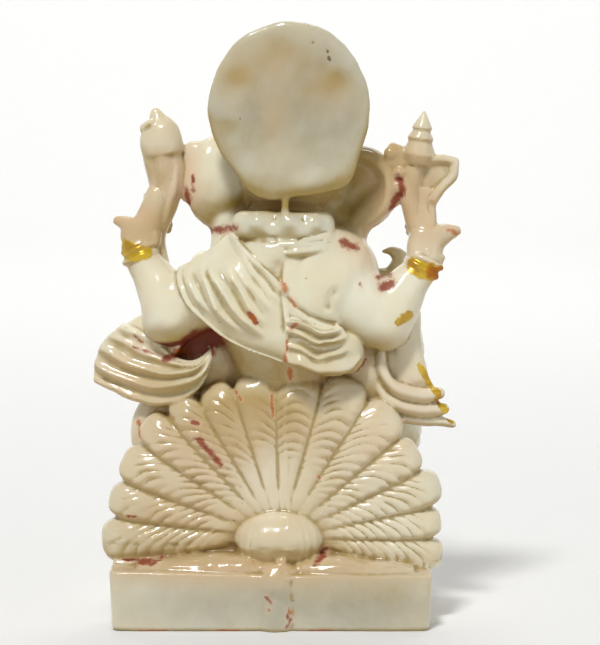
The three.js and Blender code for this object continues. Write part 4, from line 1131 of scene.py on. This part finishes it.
RED = [
    (13.9, 84.8, 7.6, 85.6, 1.0), (14.3, 81.9, 16.1, 83.4, 0.8), (-15.4, 82.9, -18.2, 81.6, 1.3),
    (-23.0, 75.0, -26.3, 75.4, 0.7), (-23.7, 72.8, -26.1, 73.7, 1.3), (-19.2, 74.0, -19.4, 72.5, 0.35),
    (18.6, 94, 18, 90.4, 1.0), (17.0, 97, 16.8, 92, 0.5), (-27.8, 96.6, -28.8, 92.6, 1.1),
    (-27.6, 92.4, -26.2, 89.6, 1.0), (30.3, 62.2, 28.1, 60.6, 0.5), (30.0, 59.7, 26.1, 58.3, 0.5),
    (4.5, 68.1, 3.1, 65.9, 0.7), (15.8, 40.5, 13.9, 38.2, 1.2), (13.9, 38.2, 10.9, 34.7, 1.0),
    (17.1, 43.9, 15.8, 43.6, 0.6), (32.3, 13.9, 25.8, 14.2, 0.5), (26.0, 13.7, 23.4, 14.8, 0.4),
    (31.2, 23.6, 29.3, 23.6, 0.4), (0.9, 7.6, -0.1, 6.4, 0.6), (0.8, 5.2, 0.2, 4.6, 0.5),
    (-4.0, 5.0, -3.5, 3.2, 0.5), (-4.4, 3.0, -3.6, 1.2, 0.6), (-9.3, 14.2, -11.9, 16.1, 0.8),
    (-20.6, 56.7, -18.4, 54.1, 0.7), (23.1, 57.2, 19.8, 58.1, 0.9), (12.9, 60, 12.2, 57.4, 0.6),
]
# The dark red lies only in the hollows, and under the elbow it is partly painted shade
MAROON = [
    (22.6, 59.8, 12.5, 61.3, 3.4), (21.0, 58.1, 14.3, 58.8, 2.6), (16.4, 62.2, 12.5, 62.8, 2.2),
    (-27.2, 96.3, -28.1, 90.2, 1.7),
]
ORANGE = [
    (28, 0.2, 22, 0.3, 0.3), (12, 0.3, 6, 0.2, 0.3), (-6, 0.2, -14, 0.3, 0.3), (-3.6, 4.6, -4.4, 4.0, 0.6),
    (4.2, 67.6, 3.4, 66.4, 0.6), (-2.7, 74.1, -3.1, 72.8, 0.8), (-4.6, 70.7, -5.0, 69.4, 0.8),
    (-4.4, 64.7, -5.7, 65.6, 0.6), (-3.5, 62.1, -3.5, 59.5, 0.45), (-2.9, 59.1, -3.3, 57.4, 0.45),
    (-4.1, 55.1, -4.4, 53.3, 0.8), (-38.4, 85.1, -40.2, 84.3, 0.8), (-34.8, 76.4, -36.2, 75.6, 2.0),
    (20.6, 58.9, 18.6, 58.6, 1.1), (-10.0, 32.3, -10.6, 31.7, 0.5), (-0.1, 49.6, -0.5, 44.8, 0.45),
    (7.7, 50.4, 6.4, 48.5, 0.4), (29.1, 43.0, 28.7, 40.5, 0.7),
]
GOLD = [
    (32.2, 80.9, 29.5, 80.2, 2.4), (29.5, 80.4, 27, 80.2, 1.7), (-31.4, 77.2, -35.9, 75.7, 2.3),
    (-27.6, 65.8, -29.9, 66.9, 1.2), (-32.3, 55.4, -34.3, 52.3, 0.9), (-34.3, 52.3, -36.3, 49.6, 0.9),
    (-36.5, 48.2, -39.6, 43.3, 1.0),
]
DIRT = [
    (-9.0, 125.5, -9.0, 125.5, 0.5), (-12.1, 123.9, -12.3, 123.4, 0.45), (-12.3, 122.4, -12.7, 121.7, 0.5),
    (11.8, 61.8, 11.6, 61.3, 0.3), (-8.0, 54.8, -8.2, 54.8, 0.5), (-0.5, 7.2, -0.8, 7.0, 0.5),
]

# Soft clouds of colour, each with its x, y and z, three radii and a weight at its centre. Some of the
# tan and pink clouds are painted shade, as marked below

GREY = [
    (-4, 15, 113, 26, 4, 22, 1.15), (-4, 15, 103, 8, 4, 7, 0.5), (-1, 26, 5, 60, 4, 11, 0.75),
    (10, 26, 7, 16, 4, 4, 0.3), (-20, 26, 6, 14, 4, 7, 0.5), (-3, 12, 86, 12, 6, 5, 0.4),
]
# Tan is partly a brownish tone and partly painted shade: on the halo's dents, on the right ear's dish and at
# the nape where the halo's shadow falls, on the curl in the hole and under the elbows
TAN = [
    (-0.5, 15, 123, 9, 4, 4.6, 0.4), (7.6, 15, 117.5, 4.8, 4, 4, 0.4), (-12.6, 15, 115.4, 6, 4, 3.6, 0.32),
    (-1, 15, 110, 3.4, 4, 7, 0.2), (-4, 15, 111, 22, 4, 24, 0.25), (-20, 3, 95, 9, 6, 12, 2.0),
    (-8, 12, 91.4, 7, 5, 2.2, 1.6), (3, 10, 91.4, 6, 5, 2.2, 1.6), (17, 17, 44, 14, 10, 9, 0.35),
    (0, 17, 34, 36, 10, 24, 0.52), (3, 17, 45, 12, 9, 8, 0.95), (24, 17, 22, 14, 10, 8, 0.5),
    (-20, 26, 8, 16, 4, 6, 0.25), (-24, 17, 24, 12, 10, 8, 0.15), (30, 8, 53, 11, 8, 9, 0.5),
    (28, 4, 85, 8, 7, 6, 1.5), (-36, 4, 84, 8, 7, 7, 0.7), (24, 3, 100, 8, 7, 12, 0.5),
    (-32, 3, 98, 9, 7, 12, 0.45), (-24, -12, 77, 5, 6, 5, 1.0), (-10, 16, 60, 9, 8, 7, 0.3),
    (0, 22, 14, 40, 8, 3, 0.8), (-30, 8, 50, 9, 8, 10, 0.25), (18, 14, 60, 6, 5, 3, 0.5),
    (-22, 12, 60, 6, 6, 3, 0.6), (-26, 26, 9, 5, 4, 3, 0.35),
]
# Where the grey, the tan and the painted shade of the hollows are wiped away, so these places come out
# lighter
UNSHADED = [
    (-9, 16, 70, 8, 9, 7, 1.2), (-22, 9, 70, 9, 12, 9, 1.2), (-28, 9, 68, 7, 10, 7, 0.8),
    (24, 9, 70, 7, 12, 9, 0.6), (6, 17, 68, 12, 8, 12, 0.7), (-1, 18, 32, 8, 10, 9, 1.0),
    (-22, 17, 34, 14, 10, 12, 0.4), (8, 17, 26, 14, 10, 9, 0.4), (-3, 13, 86, 11, 6, 3.6, 0.3),
    (-32, 8, 50, 7, 8, 8, 0.5), (-4, 15, 98, 15, 5, 7, 0.6), (-24, 17, 20, 14, 10, 8, 0.8),
    (-11, 16, 57, 9, 6, 4, 0.4),
]
# The first four pink clouds lie on the halo's dents and are painted shade there; the rest are a peach tone
PINK = [
    (-0.5, 15, 122, 9, 4, 5, 0.3), (7.6, 15, 117, 5, 4, 4, 0.3), (-12.6, 15, 115, 6, 4, 4, 0.3),
    (-1, 15, 109, 3, 4, 9, 0.3), (30, 5, 86, 7, 8, 8, 0.9), (24, 4, 100, 7, 8, 12, 0.5),
    (-35, 5, 84, 8, 8, 8, 0.8), (-30, 4, 98, 10, 8, 12, 0.6), (18, 4, 96, 3, 8, 9, 0.9),
    (-25, 4, 89, 4, 8, 7, 0.4), (34, 8, 54, 9, 8, 9, 0.6), (-30, 8, 52, 9, 8, 14, 0.4),
    (20, 14, 32, 18, 12, 16, 0.4), (-22, 14, 40, 12, 12, 12, 0.3), (0, 16, 22, 40, 10, 5, 0.25),
    (0, 22, 13, 40, 8, 3, 0.8), (0, 14, 42, 30, 10, 8, 0.25), (2, 17, 36, 32, 10, 16, 0.2),
    (24, 8, 68, 5, 8, 5, 0.3), (-21, 8, 80, 4.5, 8, 5, 0.8),
]


def field(points, normal, runs):
    """How deep inside the nearest of some runs of paint each point of the back lies: 1 on the line
    from x, z to x, z, 0 at its radius, and negative outside and at the front."""
    best = np.full(len(points), -1.0)
    flat = points[:, (0, 2)]
    for x0, z0, x1, z1, radius in runs:
        start, run = np.array([x0, z0]), np.array([x1 - x0, z1 - z0])
        t = np.clip((flat - start) @ run / max(run @ run, 1e-9), 0, 1)
        distance = np.linalg.norm(flat - start - t[:, None] * run, axis=1)
        best = np.maximum(best, 1 - distance / radius)
    hidden = smoothstep(-0.1, -0.5, normal[:, 1]) + smoothstep(-1.0, -3.0, points[:, 1])
    return np.maximum(best - 2 * hidden, -1.0)


def tint(points, places):
    """A soft cloud of colour: the sum of bells over some ellipsoids."""
    total = np.zeros(len(points))
    for x, y, z, rx, ry, rz, weight in places:
        total += weight * np.exp(-(((points - (x, y, z)) / (rx, ry, rz)) ** 2).sum(1))
    return np.clip(total, 0, 1)


def halo_rim_shade(points):
    """Painted shade at the rim of the halo's lower half: 1 there and 0 away from it."""
    x, z = (points[:, 0] - HALO["x"]) / HALO["half_width"], (points[:, 2] - HALO["z"]) / HALO["half_height"]
    reach = np.hypot(x, z)
    near = smoothstep(0.92, 1.0, reach) * (reach < 1.1) * smoothstep(0.3, -0.3, z)
    return near * (np.abs(points[:, 1] - HALO["y"] - FIGURE_Y) < 3)


def store(mesh, name, values):
    """Keeps one number for each point as an attribute that the material reads."""
    layer = mesh.attributes.new(name, "FLOAT", "POINT")
    layer.data.foreach_set("value", np.ascontiguousarray(values, np.float32))


# Settings

def length_setting(name, description, default, **limits):
    """A length whose default is given in millimetres."""
    return FloatProperty(
        name=name, description=description, default=default * MM, unit="LENGTH", precision=6, **limits)


def colour_setting(name, description, default):
    """A colour."""
    return FloatVectorProperty(name=name, description=description, default=default, subtype="COLOR")


def power_setting(name, description, default):
    """The power of a lamp in watts."""
    return FloatProperty(name=name, description=description, default=default, unit="POWER")


class StatueSizes(bpy.types.PropertyGroup):
    """Sizes of the casting's skin and of its fine relief."""
    voxel: length_setting("Voxel", "Grid that the forms are fused on", 0.3, min=0.2 * MM, max=2 * MM)
    softening: IntProperty(
        name="Softening", description="Passes that soften the fused skin", default=5, min=0, max=40)
    triangles: IntProperty(
        name="Triangles", description="Most triangles in the finished skin", default=192000, min=20000)
    barb_depth: length_setting("Barb depth", "Depth of the comb lines on the feathers", 0.33)
    barb_pitch: length_setting("Barb pitch", "Distance between comb lines near the root", 1.12)
    seam: length_setting("Seam", "Height of the mould seam down the back", 0.3)
    lumps: length_setting("Lumps", "Height of the soft unevenness of the cast skin", 0.13)


class StatueColours(bpy.types.PropertyGroup):
    """Colours of the resin, of its painted shade, washes, stains and paint."""
    ivory: colour_setting("Ivory", "Main colour", (0.85, 0.82, 0.65))
    cream: colour_setting("Cream", "Warmer clouds", (0.83, 0.765, 0.56))
    grey: colour_setting("Grey", "Cool grey-green clouds", (0.40, 0.385, 0.31))
    # Tan is partly painted shade
    tan: colour_setting("Tan", "Brownish clouds", (0.40, 0.28, 0.075))
    pink: colour_setting("Pink", "Peach wash", (0.78, 0.57, 0.39))
    # Ochre, olive and brown are painted shade in the hollows, grooves and deepest recesses, partly real
    # washes
    ochre: colour_setting("Ochre", "Wash in the recesses", (0.48, 0.33, 0.12))
    olive: colour_setting("Olive", "Lines in the grooves", (0.40, 0.29, 0.10))
    brown: colour_setting("Brown", "Deepest wash", (0.24, 0.12, 0.04))
    red: colour_setting("Red", "Dull red stains", (0.26, 0.030, 0.002))
    # Maroon is partly painted shade under the elbow
    maroon: colour_setting("Maroon", "Dark wash under the elbow", (0.17, 0.012, 0.003))
    orange: colour_setting("Orange", "Rusty seam stains", (0.46, 0.115, 0.002))
    gold: colour_setting("Gold", "Gold paint", (0.68, 0.46, 0.03))
    bronze: colour_setting("Bronze", "Darker gold paint", (0.50, 0.28, 0.03))
    pit: colour_setting("Pit", "Dirt in the small pits", (0.10, 0.08, 0.05))


class StageSettings(bpy.types.PropertyGroup):
    """Floor, light and camera."""
    floor: colour_setting("Floor", "Colour of the floor", (0.80, 0.80, 0.79))
    key: power_setting("Key light", "Power of the large lamp", 8.2)
    fill: power_setting("Fill light", "Power of the lamp across from it", 0.7)
    front: power_setting("Front light", "Power of the lamp on the far side", 0.15)
    backdrop: power_setting("Backdrop light", "Power of the lamp on the wall", 16.0)
    sky: FloatProperty(name="Sky", description="Strength of the even light from all round", default=0.04)
    distance: length_setting("Camera distance", "From the point it looks at", 500)
    elevation: FloatProperty(
        name="Camera elevation", description="Above level", default=math.radians(6), unit="ROTATION")
    aim: FloatVectorProperty(
        name="Aim", description="Point that the camera looks at", subtype="XYZ", unit="LENGTH",
        default=(-6.297 * MM, 10 * MM, 65.142 * MM))
    pixel: length_setting("Pixel", "What a pixel of the picture covers at the aim", 0.21714)


# Operators

# Each lamp's offset in metres from what it lights, and its size. The last one lights the far wall
LAMPS = {
    "key": ((0.2, 0.54, 0.94), 0.18),
    "fill": ((-0.6, 0.5, 0.3), 0.6),
    "front": ((-0.25, -0.6, 0.5), 0.5),
    "backdrop": ((0, 1.1, 0.9), 0.8),
}
FAR_WALL = (0, -1.7, 0.45)
SKY_COLOUR = (1.0, 0.97, 0.92, 1.0)


class STATUE_OT_cast(bpy.types.Operator):
    """Fuses the forms into one skin, carves its fine relief and paints it"""
    bl_idname = "statue.cast"
    bl_label = "Cast the statue"

    def execute(self, context):
        sizes = context.scene.statue_sizes
        crisp = (fan, legs, feet, jewellery, bracelets, hands, emblems, face, nape, halo, shawl)
        body = self.fused(joined([form for make in (torso, arms, head, ears) for form in make()]))
        detail = [form for make in crisp for form in make()]
        points, faces = joined([joined([body, *detail], (0, FIGURE_Y, 0)), joined(plinth())])
        mesh = bpy.data.meshes.new("ganesha")
        put_mesh(mesh, points * MM, faces)
        piece = bpy.data.objects.new("ganesha", mesh)
        context.scene.collection.objects.link(piece)
        self.fuse(piece, sizes.voxel, sizes.softening)
        self.carve(piece.data, sizes)
        thin = piece.modifiers.new("thin", "DECIMATE")
        thin.ratio = min(1.0, sizes.triangles / (2 * len(piece.data.polygons)))
        thin.use_collapse_triangulate = True
        finish_modifiers(piece)
        piece.data.shade_smooth()
        piece.data.materials.clear()
        piece.data.materials.append(resin_material(context.scene.statue_colours))
        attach(piece, "root")
        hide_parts(NODE)
        return {"FINISHED"}

    def fuse(self, piece, voxel, passes):
        """Makes the piece's overlapping forms one skin on a grid of voxels, and softens it."""
        remesh = piece.modifiers.new("fuse", "REMESH")
        remesh.mode = "VOXEL"
        remesh.voxel_size = voxel
        soften = piece.modifiers.new("soften", "SMOOTH")
        soften.factor = 0.5
        soften.iterations = passes
        finish_modifiers(piece)

    def fused(self, form):
        """A form's arrays after fusing and softening on the body's own grid."""
        mesh = bpy.data.meshes.new("body")
        put_mesh(mesh, form[0] * MM, form[1])
        body = bpy.data.objects.new("body", mesh)
        bpy.context.scene.collection.objects.link(body)
        self.fuse(body, BODY_VOXEL * MM, BODY_PASSES)
        form = points_of(body.data), triangles_of(body.data)
        bpy.data.objects.remove(body)
        return form

    def carve(self, mesh, sizes):
        """Moves each point along its normal by the fine relief, and stores the fields that the material
        reads.
        recess and hollow are how far a point lies below its smoothed neighbourhood; the material paints
        shade from them, and tan carries painted shade on the undersides and at the halo's lower rim."""
        points, normal = points_of(mesh), normals_of(mesh)
        edges = rows_of(mesh.edges, "vertices", 2, np.int32)
        figure = points[:, 2] > PLINTH["height"] + 0.6
        soft = sizes.lumps / MM * (ripple(points, 9.0, 11) * 0.7 + ripple(points, 4.0, 12) * 0.3)
        ledge = (points[:, 2] < PLINTH["height"] + 5) * (points[:, 1] > 13) * figure
        height = soft * np.where(figure, 1.0, 0.5) * (1 + 1.1 * ledge)
        height += barbs(points, normal, sizes.barb_depth / MM, sizes.barb_pitch / MM)
        height += mould_seam(points, normal, sizes.seam / MM)
        height += swellings(points, HALO_DENTS + HAIR_LUMPS + PLINTH_LUMPS) + ornament(points, normal)
        height -= 0.45 * smoothstep(0, 1, field(points, normal, CREASES))
        points = points + normal * height[:, None]
        points[:, 2] = np.maximum(points[:, 2], 0.0)
        move_points(mesh, points)
        normal = normals_of(mesh)
        near = averaged(points, edges, 8)
        # The valleys between feathers count a little deeper, which darkens their painted shade lines
        store(mesh, "recess", ((near - points) * normal).sum(1) + 0.05 * valleys(points, normal))
        # Less painted shade and tone where the surfaces should come out lighter
        unshaded = tint(points, UNSHADED)
        store(mesh, "hollow", ((surroundings(points) - points) * normal).sum(1) * (1 - 0.8 * unshaded))
        for name, runs in (("gold", GOLD), ("red", RED), ("orange", ORANGE), ("maroon", MAROON),
                           ("dirt", DIRT)):
            store(mesh, name, field(points, normal, runs))
        store(mesh, "grey", tint(points, GREY) * (1 - 0.8 * unshaded))
        # Painted shade on the figure's undersides, and darker along the plinth's bottom edge; with the halo's
        # lower rim it goes into tan
        under = 0.9 * smoothstep(0.12, -0.5, normal[:, 2]) * figure + 0.8 * smoothstep(1.0, 0.2, points[:, 2])
        tan = tint(points, TAN) + 0.5 * halo_rim_shade(points) + under
        store(mesh, "tan", np.clip(tan * (1 - 0.8 * unshaded), 0, 1))
        store(mesh, "pink", tint(points, PINK))


class STATUE_OT_stage(bpy.types.Operator):
    """Lays the pale floor, hangs the soft lamps and sets the camera behind the statue"""
    bl_idname = "statue.stage"
    bl_label = "Set the stage"

    def execute(self, context):
        stage = context.scene.statue_stage
        self.lay_floor(context, stage)
        aim = Vector(stage.aim)
        context.scene.view_settings.view_transform = "Standard"
        for name, (offset, size) in LAMPS.items():
            lit = Vector(FAR_WALL) if name == "backdrop" else aim
            self.hang_lamp(context, name + "_lamp", lit, offset, size, getattr(stage, name))
        world = context.scene.world or bpy.data.worlds.new("sky")
        context.scene.world = world
        world.use_nodes = True
        background = world.node_tree.nodes["Background"]
        background.inputs["Color"].default_value = SKY_COLOUR
        background.inputs["Strength"].default_value = stage.sky
        self.set_camera(context, stage, aim)
        return {"FINISHED"}

    def lay_floor(self, context, stage):
        """A round floor that curves up into a wall: a profile of a flat run, a quarter circle and an
        upright run, spun about the vertical."""
        flat, bend, top = 1.1, 0.6, 1.6
        turn = np.linspace(0, np.pi / 2, 24)
        radius = np.concatenate([[0.02, 0.5], flat + bend * np.sin(turn), [flat + bend]])
        height = np.concatenate([[0.0, 0.0], bend * (1 - np.cos(turn)), [top]])
        angle = np.linspace(0, 2 * np.pi, 96, endpoint=False)
        rings = np.stack(np.broadcast_arrays(
            radius[:, None] * np.cos(angle), radius[:, None] * np.sin(angle), height[:, None]), -1)
        n, m = rings.shape[:2]
        grid = np.arange(n * m).reshape(n, m)
        after = np.roll(grid, -1, axis=1)
        middle = np.stack([np.full(m, n * m), grid[0], after[0]], 1)
        faces = np.concatenate([quads(grid[:-1], grid[1:], after[1:], after[:-1]), middle])
        mesh = bpy.data.meshes.new("floor")
        put_mesh(mesh, np.vstack([rings.reshape(-1, 3), (0, 0, 0)]), faces)
        mesh.shade_smooth()
        mesh.materials.append(floor_material(stage.floor))
        floor = bpy.data.objects.new("floor", mesh)
        context.scene.collection.objects.link(floor)

    def hang_lamp(self, context, name, aim, offset, size, power):
        """A square lamp that looks at the aim from an offset."""
        light = bpy.data.lights.new(name, "AREA")
        light.shape = "SQUARE"
        light.size = size
        light.energy = power
        lamp = bpy.data.objects.new(name, light)
        lamp.location = aim + Vector(offset)
        lamp.rotation_euler = (-Vector(offset)).to_track_quat("-Z", "Y").to_euler()
        context.scene.collection.objects.link(lamp)

    def set_camera(self, context, stage, aim):
        """A camera behind the statue. Its lens makes one pixel of the picture cover its size at the aim."""
        rise = Vector((0, math.cos(stage.elevation), math.sin(stage.elevation)))
        data = bpy.data.cameras.new("camera")
        data.sensor_width = 36.0
        data.lens = data.sensor_width * stage.distance / (IMAGE_HEIGHT * stage.pixel)
        camera = bpy.data.objects.new("camera", data)
        camera.location = aim + rise * stage.distance
        camera.rotation_euler = (-rise).to_track_quat("-Z", "Y").to_euler()
        context.scene.collection.objects.link(camera)
        context.scene.camera = camera


class STATUE_PT_panel(bpy.types.Panel):
    """Buttons that make the statue and its stage"""
    bl_idname = "STATUE_PT_panel"
    bl_label = "Statue"
    bl_space_type = "VIEW_3D"
    bl_region_type = "UI"
    bl_category = "Statue"

    def draw(self, context):
        for operator in (STATUE_OT_cast, STATUE_OT_stage):
            self.layout.operator(operator.bl_idname)


CLASSES = (StatueSizes, StatueColours, StageSettings, STATUE_OT_cast, STATUE_OT_stage, STATUE_PT_panel)


def register():
    for cls in CLASSES:
        bpy.utils.register_class(cls)
    bpy.types.Scene.statue_sizes = PointerProperty(type=StatueSizes)
    bpy.types.Scene.statue_colours = PointerProperty(type=StatueColours)
    bpy.types.Scene.statue_stage = PointerProperty(type=StageSettings)


def unregister():
    for name in ("statue_sizes", "statue_colours", "statue_stage"):
        delattr(bpy.types.Scene, name)
    for cls in reversed(CLASSES):
        bpy.utils.unregister_class(cls)


def main():
    register()
    bpy.ops.statue.cast()
    bpy.ops.statue.stage()


if __name__ == "__main__":
    main()
